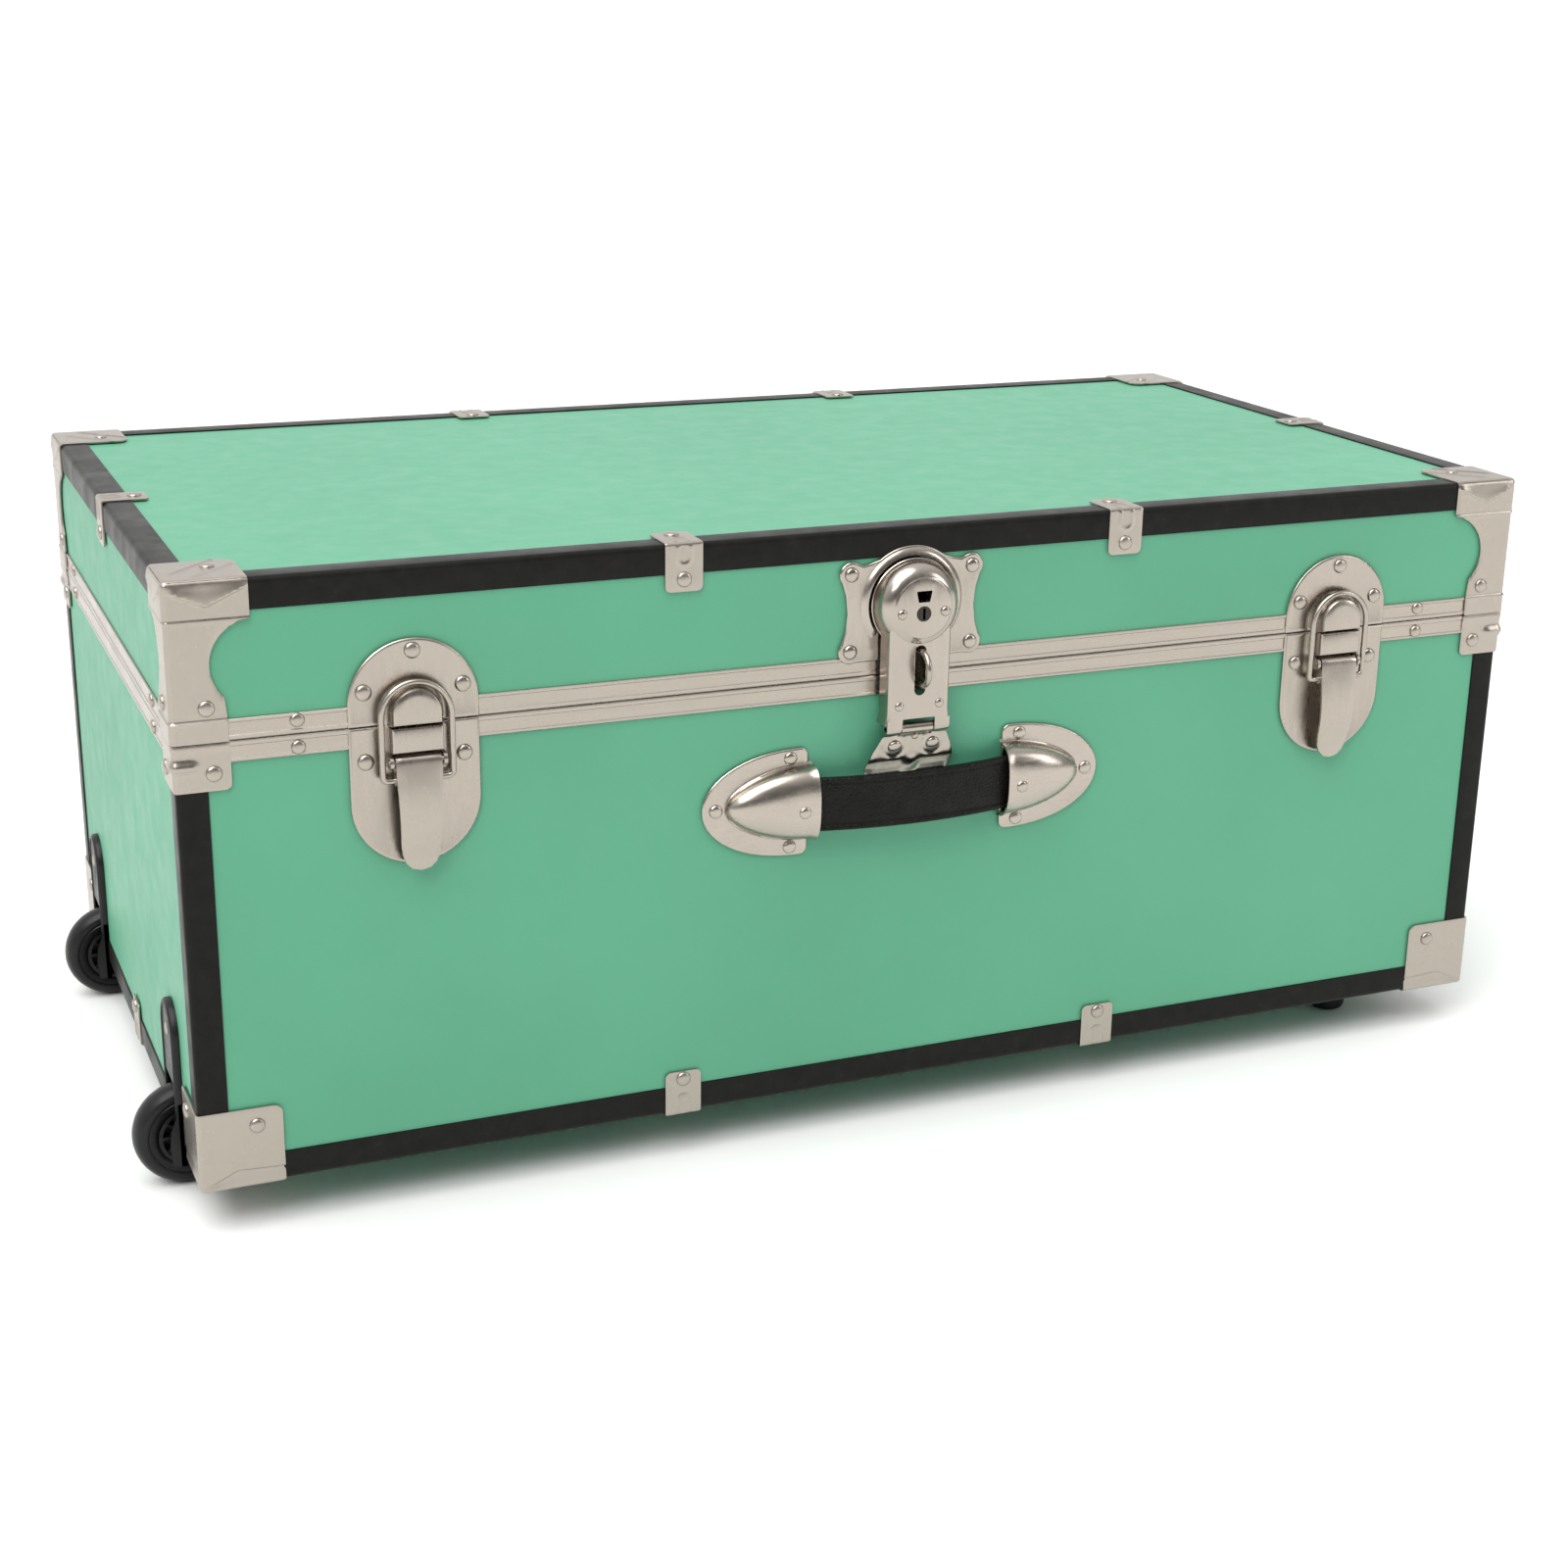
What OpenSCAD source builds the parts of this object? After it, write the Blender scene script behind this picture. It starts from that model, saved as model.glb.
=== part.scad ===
// Footlocker: a panelled box with a hinged lid, sheet steel edge trim and corner caps,
// two draw latches, a hasp lock, strap handles, two recessed wheels and two feet.
// Everything is drawn in the box's own frame (middle of its length at x = 0, front
// face at y = 0, underside at z = 0) and moved once, so that the origin ends up under
// the middle of the whole object, on the floor.

/* [Box] */
// Length over the edge trim
box_l = 762; // [720:2:840]
// Depth over the edge trim
box_d = 400; // [360:2:440]
// Height of the closed box over the edge trim
box_h = 311; // [308:1:325]
// Height of the seam between body and lid
seam_h = 233; // [232:1:236]
// Gap between the two rims when the lid is down
seam_gap = 0.4; // [0.3:0.1:0.6]
// Thickness of the wall panels
panel_t = 6; // [5:0.5:6]
// Thickness of the paper lining
lining_t = 0.8; // [0.5:0.1:1]

/* [Edge trim and rails] */
// Width of each leg of the edge trim
trim_w = 15.5; // [13:0.5:17]
// Thickness of the trim and of the rim rails
trim_t = 1; // [0.8:0.1:1]
// Height of each rim rail
rail_h = 10.5; // [9:0.5:11]
// How far the body rail's tongue stands up inside the lid
tongue_h = 6; // [4:0.5:8]

/* [Caps, clips and rivets] */
// Thickness of the pressed corner caps and clips
cap_t = 0.8; // [0.6:0.1:1]
// Width of the bottom corner caps on each face
bottom_cap_w = 42; // [36:1:44]
// Width of the lid corner caps on the lid's top
lid_cap_w = 40; // [36:1:44]
// Width of the small caps at the rim's corners
rim_cap_w = 27; // [24:1:30]
// Height of the small caps at the rim's corners
rim_cap_h = 23.6; // [20:0.1:26]
// Width of each edge clip
clip_w = 20; // [16:1:24]
// Length of each leg of an edge clip
clip_leg = 24.5; // [22:0.5:28]
// Distance of the long edges' clips from the middle
clip_x = 126; // [110:1:140]
// Radius of a rivet head
rivet_r = 4; // [3:0.1:4.2]
// Height of a rivet head
rivet_h = 1.6; // [1:0.1:2]

/* [Latches] */
// Distance of each latch from the middle
latch_x = 265.5; // [240:0.5:290]
// Half the width of a latch's plates
latch_r = 32.5; // [31:0.5:34]
// Height of the lever's pivot
lever_z = 215; // [214:0.5:216]
// Length of the lever below its pivot
lever_len = 56; // [50:1:58]
// Width of the lever
lever_w = 23; // [22:0.5:24]
// Distance from the lever's pivot down to the bail's
bail_drop = 9; // [8.5:0.5:9.5]
// Height of the top of the bail's wire
bail_top = 256.5; // [256:0.5:258]
// Half the width of the bail, to the middle of its wire
bail_r = 17.5; // [17:0.5:18.5]
// Radius of the bail's wire
wire_r = 1.5; // [1.2:0.1:1.6]

/* [Lock] */
// Height of the centre of the hasp's dome
dome_z = 271; // [270:1:272]
// Radius of the hasp's dome
dome_r = 23.5; // [23:0.5:24]
// How far the dome's face stands out from the box
dome_out = 16; // [16:0.5:17]
// Half the width of the hasp's channel
hasp_w = 18; // [17.5:0.5:19]
// How far the channel's front stands out from the box
hasp_out = 14; // [14:0.5:14.5]
// Height of the hasp's pivot
hasp_z = 206; // [205:0.5:206.5]
// How far the hasp's pivot stands out from the box
hasp_pin_out = 11; // [10.5:0.1:11]
// Height of the key plug
plug_z = 268.2; // [267.5:0.1:268.5]
// Radius of the key plug
plug_r = 4; // [3.8:0.1:4.2]
// How far the cam's tip reaches from the middle of the plug
cam_reach = 16.8; // [16.4:0.1:17]

/* [Handles] */
// Height of the handles' middle
handle_z = 168.5; // [160:0.5:172]
// Distance from the handle's middle to a cap's outer tip
cap_tip = 116; // [110:1:122]
// Length of a handle cap
cap_len = 59; // [54:1:62]
// Half the height of a handle cap
cap_half = 30; // [27:1:31]
// Height of the strap
strap_h = 29; // [24:1:32]
// Thickness of the strap
strap_t = 5; // [4:0.5:6]
// How far the strap's middle stands out from the box
strap_out = 17; // [15:0.5:18]

/* [Wheels and feet] */
// Radius of a wheel
wheel_r = 28; // [26:0.5:28]
// Width of a tyre
wheel_w = 20; // [16:1:21]
// Height of the wheels' axle above the underside
wheel_z = 3; // [2:0.5:5]
// How far the axle lies inside the end of the box
wheel_in = 4; // [3:0.5:6]
// Distance of a wheel's middle from the nearer long side
wheel_y = 67; // [62:1:80]
// Radius of an axle
axle_r = 3; // [2.5:0.1:3.5]
// Distance of a foot from the nearer end
foot_x = 63; // [50:1:90]
// Distance of a foot from the nearer long side
foot_y = 47; // [40:1:60]
// Radius of a foot
foot_r = 11; // [9:0.5:14]

/* [Lid hinges] */
// Distance of each hinge from the middle
hinge_x = 230; // [150:5:300]
// Width of a hinge
hinge_w = 60; // [45:3:75]
// Height of a hinge leaf
leaf_h = 26; // [20:1:30]
// Radius of a hinge knuckle
knuckle_r = 3; // [2.8:0.1:3.2]
// Radius of a hinge pin
hinge_pin_r = 1.5; // [1.2:0.1:1.6]

/* [Hidden] */
$fn = 48;
fine = 96;
fit = 0.05;
wide_fit = 0.4;
eps = 0.01;
half_l = box_l / 2;
wall = trim_t + panel_t;
body_top = seam_h - seam_gap / 2;
lid_low = seam_h + seam_gap / 2;
tongue_gap = 1.5;
plate_t = 1.2;
sheet_t = 1;
leaf_t = 1.2;
hinge_y = box_d + knuckle_r + 0.2;
bands = 5;
band = hinge_w / bands;
band_gap = 0.2;
staple_r = 1.6;
staple_out = 24.4;
staple_low = 230;
staple_high = 248;
housing_w = 34;
housing_wall = 2;
housing_out = 3.5;
wheel_gap = 4;
rim_r = 15.5;
wheel_x = -half_l + wheel_in;
well_in = wheel_x + wheel_r + wheel_gap;
well_top = wheel_z + wheel_r + wheel_gap;
well_half = housing_w / 2 - housing_wall;
floor_z = wheel_z - wheel_r;
lever_y = -5.5;
lever_pin_r = 1.5;
bail_z = lever_z - bail_drop;
hasp_pin_r = 1.4;
hasp_knuckle_r = 2.6;
case_back = 9.4;
cam_gap = 0.3;
window = [4.5, 274.3, 280.3];
strap_half_l = 78;
strap_in = 8;
strap_sag = strap_out - strap_in - strap_t / 2 + 1;
strap_chord = 60;
strap_bend = (strap_chord * strap_chord + strap_sag * strap_sag) / (2 * strap_sag);

low_x = wheel_x - wheel_r;
high_x = half_l + strap_out;
low_y = -staple_out - staple_r;
high_y = hinge_y + knuckle_r;
frame_shift = [-(low_x + high_x) / 2, -(low_y + high_y) / 2, -floor_z];

steel = [0.72, 0.68, 0.64];
bright = [0.82, 0.79, 0.75];
black = [0.17, 0.16, 0.15];
green = [0.36, 0.68, 0.54];
paper = [0.86, 0.85, 0.80];
rubber = [0.08, 0.08, 0.08];

// ---- helpers ----

// A block between two opposite corners
module slab(a, b) translate(a) cube(b - a);

// An outline in x and z, made solid from y = near to y = far
module front_plate(near, far)
    translate([0, far, 0]) rotate([90, 0, 0]) linear_extrude(far - near) children();

// An outline in y and z, made solid from x = low to x = high
module side_profile(low, high)
    translate([low, 0, 0]) rotate([90, 0, 90]) linear_extrude(high - low) children();

// A round bar along x
module rod_x(r, low, high, y, z)
    translate([low, y, z]) rotate([0, 90, 0]) cylinder(r = r, h = high - low);

// A round bar along y
module rod_y(r, low, high, x, z)
    translate([x, low, z]) rotate([-90, 0, 0]) cylinder(r = r, h = high - low);

module both_ends() {
    children();
    mirror([1, 0, 0]) children();
}

module both_sides() {
    children();
    translate([0, box_d, 0]) mirror([0, 1, 0]) children();
}

// A closed frame that follows the walls, between two depths from the outside
module wall_ring(low, high, outer, inner) difference() {
    slab([-half_l + outer, outer, low], [half_l - outer, box_d - outer, high]);
    slab([-half_l + inner, inner, low - 1], [half_l - inner, box_d - inner, high + 1]);
}

// An L-shaped strip along x, with its outer edge on the x axis
module angle_strip(low, high) {
    slab([low, 0, 0], [high, trim_t, trim_w]);
    slab([low, 0, 0], [high, trim_w, trim_t]);
}

// A flat leaf from the origin with its far corner rounded
module leaf(w, h, r) {
    square([w - r, h]);
    square([w, h - r]);
    translate([w - r, h - r]) circle(r);
}

// A rivet's domed head, standing out along +z from the origin
module rivet(r = rivet_r, h = rivet_h) {
    ball = (r * r + h * h) / (2 * h);
    intersection() {
        translate([0, 0, h - ball]) sphere(ball);
        cylinder(r = r, h = h);
    }
}

module front_rivet(x, z, out, r = rivet_r) translate([x, -out, z]) rotate([90, 0, 0]) rivet(r);

module end_rivet(y, z, out) translate([half_l + out, y, z]) rotate([0, 90, 0]) rivet();

// ---- body box ----

module long_wall() slab([-half_l + trim_t, trim_t, trim_t], [half_l - trim_t, wall, body_top - trim_t]);

module end_wall() slab([half_l - wall, wall, trim_t], [half_l - trim_t, box_d - wall, body_top - trim_t]);

// The room that both wheel housings take up in the panels
module wheel_wells() both_sides()
    slab(
        [-half_l - 1, wheel_y - housing_w / 2, -1],
        [well_in + housing_wall, wheel_y + housing_w / 2, well_top + housing_wall]
    );

module front_panel() color(green) long_wall();

module rear_panel() color(green) translate([0, box_d, 0]) mirror([0, 1, 0]) long_wall();

module right_end_panel() color(green) end_wall();

module left_end_panel() color(green) difference() {
    mirror([1, 0, 0]) end_wall();
    wheel_wells();
}

module bottom_panel() color(green) difference() {
    slab([-half_l + wall, wall, trim_t], [half_l - wall, box_d - wall, wall]);
    wheel_wells();
}

module body_lining() color(paper) difference() {
    slab([-half_l + wall, wall, wall], [half_l - wall, box_d - wall, body_top - rail_h]);
    slab(
        [-half_l + wall + lining_t, wall + lining_t, wall + lining_t],
        [half_l - wall - lining_t, box_d - wall - lining_t, body_top]
    );
    wheel_wells();
}

module body_rim_rail() color(steel) {
    wall_ring(body_top - rail_h, body_top, 0, trim_t);
    wall_ring(body_top - trim_t, body_top, 0, wall + tongue_gap + sheet_t);
    wall_ring(body_top - rail_h, body_top, wall, wall + tongue_gap + sheet_t);
}

module rim_tongue() color(steel)
    wall_ring(body_top, body_top + tongue_h, wall + tongue_gap, wall + tongue_gap + sheet_t);

// ---- body edge trim ----

module bottom_front_trim() color(black) angle_strip(-half_l + trim_w, half_l - trim_w);

module bottom_rear_trim() color(black)
    translate([0, box_d, 0]) mirror([0, 1, 0]) angle_strip(-half_l + trim_w, half_l - trim_w);

// A strip along the underside's right edge, from one depth to another
module end_strip(low, high) translate([half_l, 0, 0]) rotate([0, 0, 90]) angle_strip(low, high);

module bottom_right_trim() color(black) end_strip(trim_w, box_d - trim_w);

// The left strip is interrupted by the wheel housings
module bottom_left_trim() color(black) mirror([1, 0, 0]) {
    end_strip(wheel_y + housing_w / 2, box_d - wheel_y - housing_w / 2);
    both_sides() end_strip(trim_w, wheel_y - housing_w / 2);
}

module upright_trims() color(black) both_ends() both_sides()
    translate([half_l, 0, 0]) mirror([1, 0, 0]) {
        slab([0, 0, trim_w], [trim_t, trim_w, body_top - rail_h]);
        slab([0, 0, trim_w], [trim_w, trim_t, body_top - rail_h]);
    }

// ---- caps, clips and rivets ----

// Children are an outline seen from the front, measured from the right end inwards.
// It is folded over on to the right end as well, around an edge between two heights.
module folded_corner(low, high) translate([half_l, 0, 0]) mirror([1, 0, 0]) {
    front_plate(-cap_t, 0) children();
    side_profile(-cap_t, 0) children();
    slab([-cap_t, -cap_t, low], [0, 0, high]);
}

// The third side of a corner cap, flat at a height
module flat_side(w, z) translate([half_l + cap_t, -cap_t, z]) mirror([1, 0, 0])
    linear_extrude(cap_t) leaf(w + cap_t, w + cap_t, 7);

module bottom_corner_caps() color(bright) both_ends() both_sides() {
    folded_corner(0, bottom_cap_w) leaf(bottom_cap_w, bottom_cap_w, 7);
    flat_side(bottom_cap_w, -cap_t);
}

module rim_corner_caps() color(bright) both_ends() both_sides()
    folded_corner(body_top - rim_cap_h, body_top)
        translate([0, body_top - rim_cap_h]) square([rim_cap_w, rim_cap_h]);

// The lid cap's side: a wide band at the top, a scallop, and a flare at the rim
module lid_cap_outline() {
    band_h = 19;
    scallop_r = 22;
    scallop_x = 42;
    scallop_z = 270;
    difference() {
        translate([0, lid_low]) square([rim_cap_w, box_h - lid_low]);
        translate([scallop_x, scallop_z]) circle(scallop_r);
    }
    translate([0, box_h]) mirror([0, 1]) leaf(lid_cap_w, band_h, 4);
}

module lid_corner_caps() color(bright) both_ends() both_sides() {
    folded_corner(lid_low, box_h) lid_cap_outline();
    flat_side(lid_cap_w, box_h);
}

// A clip folded over the edge along x at the origin, seen on the underside
module edge_clip() {
    front_plate(-cap_t, 0) both_ends() leaf(clip_w / 2, clip_leg, 3);
    slab([-clip_w / 2, -cap_t, -cap_t], [clip_w / 2, 0, eps]);
    translate([0, 0, -cap_t]) linear_extrude(cap_t) both_ends() leaf(clip_w / 2, clip_leg, 3);
}

// Clips on the long and short edges around the underside
module clip_row() {
    both_sides() both_ends() translate([clip_x, 0, 0]) edge_clip();
    both_ends() translate([half_l, box_d / 2, 0]) rotate([0, 0, 90]) edge_clip();
}

module body_edge_clips() color(bright) clip_row();

module lid_edge_clips() color(bright) translate([0, 0, box_h]) mirror([0, 0, 1]) clip_row();

// Rivets of the clips on the box's sides, at a height
module clip_rivets(z) {
    both_sides() both_ends() front_rivet(clip_x, z, cap_t);
    both_ends() end_rivet(box_d / 2, z, cap_t);
}

module body_rivets() color(bright) {
    rim_low = 218;
    clip_rivets(clip_leg - 6);
    both_sides() both_ends() {
        front_rivet(half_l - 29, 33, cap_t);
        front_rivet(half_l - 18, rim_low, cap_t);
    }
    both_ends() for (y = [29, box_d - 29]) end_rivet(y, 33, cap_t);
    both_ends() for (y = [18, box_d - 18]) end_rivet(y, rim_low, cap_t);
    both_ends() front_rivet(half_l - 58, body_top - 6.5, 0, 3);
}

module lid_rivets() color(bright) {
    rim_high = 250;
    clip_rivets(box_h - clip_leg + 6);
    both_sides() both_ends() front_rivet(half_l - 17, rim_high, cap_t);
    both_ends() for (y = [17, box_d - 17]) end_rivet(y, rim_high, cap_t);
    both_ends() front_rivet(half_l - 60, lid_low + 6.5, 0, 3);
    both_ends() both_sides() translate([half_l - 26, 26, box_h + cap_t]) rivet();
    both_sides() both_ends() translate([clip_x, clip_leg - 6, box_h + cap_t]) rivet();
    both_ends() translate([half_l - clip_leg + 6, box_d / 2, box_h + cap_t]) rivet();
}

// ---- wheels and feet ----

// A tall plate with a round top, slotted for the wheel, and a well behind it
module wheel_housing() {
    plate_low = -9;
    plate_top = 78;
    cheek_out = 7;
    cheek_top = 17;
    half = housing_w / 2;
    panel_x = -half_l + trim_t;
    translate([0, wheel_y, 0]) difference() {
        union() {
            side_profile(-half_l - housing_out + trim_t, panel_x) {
                translate([0, plate_top - half]) circle(half);
                translate([-half, plate_low]) square([2 * half, plate_top - half - plate_low]);
            }
            for (side = [-1, 1]) translate([0, side * (half - housing_wall / 2), 0])
                slab(
                    [-half_l - cheek_out, -housing_wall / 2, plate_low],
                    [panel_x, housing_wall / 2, cheek_top]
                );
            slab([panel_x - eps, -half, trim_t], [well_in + housing_wall, half, well_top + housing_wall]);
        }
        slab([-half_l - cheek_out - 1, -well_half, plate_low - 1], [well_in, well_half, well_top]);
        rod_y(axle_r, -half - 1, half + 1, wheel_x, wheel_z);
    }
}

module front_wheel_housing() color(rubber) wheel_housing();

module rear_wheel_housing() color(rubber) translate([0, box_d, 0]) mirror([0, 1, 0]) wheel_housing();

module wheel_axles() color(steel) {
    reach = housing_w / 2 - wide_fit;
    both_sides() rod_y(axle_r, wheel_y - reach, wheel_y + reach, wheel_x, wheel_z);
}

// Children turn about the axle of the wheel in the given depth
module on_axle(y) translate([wheel_x, y, wheel_z]) rotate([-90, 0, 0]) children();

module wheel_tyre() {
    shoulder = 5;
    rotate_extrude($fn = fine) difference() {
        union() {
            translate([rim_r, -wheel_w / 2 + 2]) square([wheel_r - shoulder - rim_r, wheel_w - 4]);
            translate([wheel_r - wheel_w / 2 + 1, 0]) circle(wheel_w / 2 - 1);
        }
        translate([-wheel_r, -wheel_r]) square([wheel_r + rim_r, 2 * wheel_r]);
    }
}

module wheel_hub() {
    hub_r = 7;
    web_half = 2;
    hub_half = 11;
    spokes = 10;
    difference() {
        union() {
            difference() {
                translate([0, 0, -wheel_w / 2 + 2]) cylinder(r = rim_r, h = wheel_w - 4, $fn = fine);
                translate([0, 0, -wheel_w]) cylinder(r = rim_r - 2, h = 2 * wheel_w);
            }
            translate([0, 0, -web_half]) cylinder(r = rim_r - 1, h = 2 * web_half);
            for (i = [0 : spokes - 1]) rotate([0, 0, i * 360 / spokes])
                slab([hub_r - 1, -0.8, -wheel_w / 2 + 3], [rim_r - 1, 0.8, wheel_w / 2 - 3]);
            translate([0, 0, -hub_half]) cylinder(r = hub_r, h = 2 * hub_half);
        }
        translate([0, 0, -hub_half - 1]) cylinder(r = axle_r + fit, h = 2 * hub_half + 2);
    }
}

module front_wheel_tyre() color(rubber) on_axle(wheel_y) wheel_tyre();

module rear_wheel_tyre() color(rubber) on_axle(box_d - wheel_y) wheel_tyre();

module front_wheel_hub() color(rubber) on_axle(wheel_y) wheel_hub();

module rear_wheel_hub() color(rubber) on_axle(box_d - wheel_y) wheel_hub();

module feet() color(rubber) both_sides() translate([half_l - foot_x, foot_y, 0]) {
    round_r = 4;
    translate([0, 0, floor_z]) cylinder(r = foot_r - round_r, h = trim_t - floor_z);
    translate([0, 0, floor_z + round_r]) cylinder(r = foot_r, h = trim_t - floor_z - round_r);
    translate([0, 0, floor_z + round_r]) rotate_extrude()
        intersection() {
            translate([foot_r - round_r, 0]) circle(round_r);
            translate([0, -round_r]) square([foot_r, round_r]);
        }
}

// ---- draw latches ----

module latch_outline() {
    top = 275.5;
    low = 161;
    translate([0, top - latch_r]) circle(latch_r, $fn = fine);
    translate([0, low + latch_r]) circle(latch_r, $fn = fine);
    translate([-latch_r, low + latch_r]) square([2 * latch_r, top - low - 2 * latch_r]);
}

// The lid's half: an arched boss that the bail hooks over
module latch_keeper() {
    boss_r = 13;
    boss_top = 252.5;
    boss_out = 8.8;
    front_plate(-plate_t, 0) intersection() {
        latch_outline();
        translate([-latch_r, lid_low]) square(2 * latch_r);
    }
    front_plate(-boss_out, -plate_t + eps) intersection() {
        union() {
            translate([0, boss_top - boss_r]) circle(boss_r);
            translate([-boss_r, lid_low]) square([2 * boss_r, boss_top - boss_r - lid_low]);
        }
        translate([-boss_r, lid_low]) square(2 * boss_r);
    }
    for (p = [[0, 269.5], [-24.5, 250.5], [24.5, 250.5]]) front_rivet(p[0], p[1], plate_t);
}

// The body's half: a flat plate, a low block at the seam and two ears for the pin
module latch_plate() {
    half_h = 80;
    ear_in = 12.4;
    ear_out = 14.2;
    ear_r = 3;
    block_low = lever_z + 4.5;
    block_half = 13;
    difference() {
        union() {
            front_plate(-plate_t, 0) intersection() {
                latch_outline();
                translate([-latch_r, body_top - half_h]) square([2 * latch_r, half_h]);
            }
            front_plate(lever_y, -plate_t + eps)
                translate([-block_half, block_low]) square([2 * block_half, body_top - block_low]);
            both_ends() {
                slab([ear_in, lever_y, lever_z - ear_r], [ear_out, -plate_t + eps, lever_z + ear_r]);
                rod_x(ear_r, ear_in, ear_out, lever_y, lever_z);
            }
        }
        rod_x(lever_pin_r, -20, 20, lever_y, lever_z);
    }
    for (p = [[-24.5, 215.5], [24.5, 215.5]]) front_rivet(p[0], p[1], plate_t);
}

// The lever: a tongue that hangs from its pin, with two flanges that carry the bail
module latch_lever() {
    curl_r = 3;
    half = lever_w / 2;
    tip_r = 10;
    flange_r = 2.6;
    flange_t = 1.2;
    tip_z = lever_z - lever_len;
    difference() {
        union() {
            rod_x(curl_r, -half, half, lever_y, lever_z);
            front_plate(lever_y - curl_r, lever_y - curl_r + plate_t) {
                translate([0, tip_z + tip_r]) circle(tip_r);
                polygon([
                    [-half, lever_z], [half, lever_z],
                    [tip_r, tip_z + tip_r], [-tip_r, tip_z + tip_r]
                ]);
            }
            both_ends() {
                rod_x(flange_r, half - flange_t, half, lever_y, bail_z);
                slab(
                    [half - flange_t, lever_y - curl_r + eps, bail_z - flange_r],
                    [half, lever_y, lever_z]
                );
            }
        }
        rod_x(lever_pin_r + fit, -half - 1, half + 1, lever_y, lever_z);
        rod_x(wire_r + fit, -half - 1, half + 1, lever_y, bail_z);
        slab([-half + flange_t, lever_y - 1, tip_z], [half - flange_t, 0, lever_z - curl_r - 0.5]);
    }
}

// The bail: a wire arch whose two ends turn inwards into the lever's flanges
module latch_bail() {
    arch_z = bail_top - wire_r - bail_r;
    in_x = lever_w / 2 - 1.8;
    translate([0, lever_y, arch_z]) rotate([90, 0, 0]) intersection() {
        rotate_extrude($fn = fine) translate([bail_r, 0]) circle(wire_r);
        translate([-50, 0, -5]) cube([100, 50, 10]);
    }
    both_ends() {
        translate([bail_r, lever_y, bail_z]) cylinder(r = wire_r, h = arch_z - bail_z);
        rod_x(wire_r, in_x, bail_r, lever_y, bail_z);
        translate([bail_r, lever_y, bail_z]) sphere(wire_r);
    }
}

module lever_pins() color(steel) both_ends() translate([latch_x, 0, 0])
    rod_x(lever_pin_r, -14.6, 14.6, lever_y, lever_z);

module at_latch(side) translate([side * latch_x, 0, 0]) children();

module left_latch_plate() color(steel) at_latch(-1) latch_plate();

module right_latch_plate() color(steel) at_latch(1) latch_plate();

module left_latch_keeper() color(steel) at_latch(-1) latch_keeper();

module right_latch_keeper() color(steel) at_latch(1) latch_keeper();

module left_latch_lever() color(bright) at_latch(-1) latch_lever();

module right_latch_lever() color(bright) at_latch(1) latch_lever();

module left_latch_bail() color(bright) at_latch(-1) latch_bail();

module right_latch_bail() color(bright) at_latch(1) latch_bail();

// ---- lock ----

// The plate on the lid: four lobes, an arched top and a raised ring round the dome
module lock_back_plate() color(steel) {
    lobe_x = 34.5;
    lobe_z = [247, 288];
    lobe_r = 6.5;
    plate_half = 36;
    plate_z = [243, 292];
    waist_r = 39;
    arch_r = 30;
    ring_in = dome_r + 1;
    ring_out = ring_in + 3.5;
    ring_h = 1.5;
    tongue_half = 14;
    tongue_z = [226, 250];
    front_plate(-plate_t, 0) {
        difference() {
            union() {
                translate([-plate_half, plate_z[0]]) square([2 * plate_half, plate_z[1] - plate_z[0]]);
                for (x = [-lobe_x, lobe_x], z = lobe_z) translate([x, z]) circle(lobe_r);
            }
            both_ends() translate([plate_half + waist_r, (plate_z[0] + plate_z[1]) / 2])
                circle(waist_r, $fn = fine);
        }
        translate([0, dome_z]) circle(arch_r, $fn = fine);
    }
    front_plate(-plate_t - ring_h, -plate_t + eps) difference() {
        translate([0, dome_z]) circle(ring_out, $fn = fine);
        translate([0, dome_z]) circle(ring_in, $fn = fine);
        translate([-hasp_w - 1, dome_z - 2 * arch_r]) square([2 * hasp_w + 2, 2 * arch_r - 10]);
    }
    slab([-tongue_half, -plate_t - 1, tongue_z[0]], [tongue_half, -plate_t + eps, tongue_z[1]]);
    for (x = [-lobe_x, lobe_x], z = lobe_z) front_rivet(x, z, plate_t);
}

// A hook that the cam turns in behind
module lock_catch() color(steel) {
    half = 4;
    reach = 11;
    arm_z = [286, 288];
    hook_low = 282;
    hook_t = 1.4;
    slab([-half, -reach, arm_z[0]], [half, -plate_t, arm_z[1]]);
    slab([-half, -reach, hook_low], [half, -reach + hook_t, arm_z[0] + eps]);
}

// A wire loop that comes out through the hasp's slot
module padlock_staple() color(bright) {
    mid = (staple_low + staple_high) / 2;
    bow_r = (staple_high - staple_low) / 2;
    leg_y = -staple_out + bow_r;
    base_y = -plate_t - 1;
    for (z = [staple_low, staple_high]) rod_y(staple_r, leg_y, base_y, 0, z);
    translate([0, leg_y, mid]) rotate([0, 90, 0]) intersection() {
        rotate_extrude($fn = fine) translate([bow_r, 0]) circle(staple_r);
        translate([-50, -50, -5]) cube([100, 50, 10]);
    }
}

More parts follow.
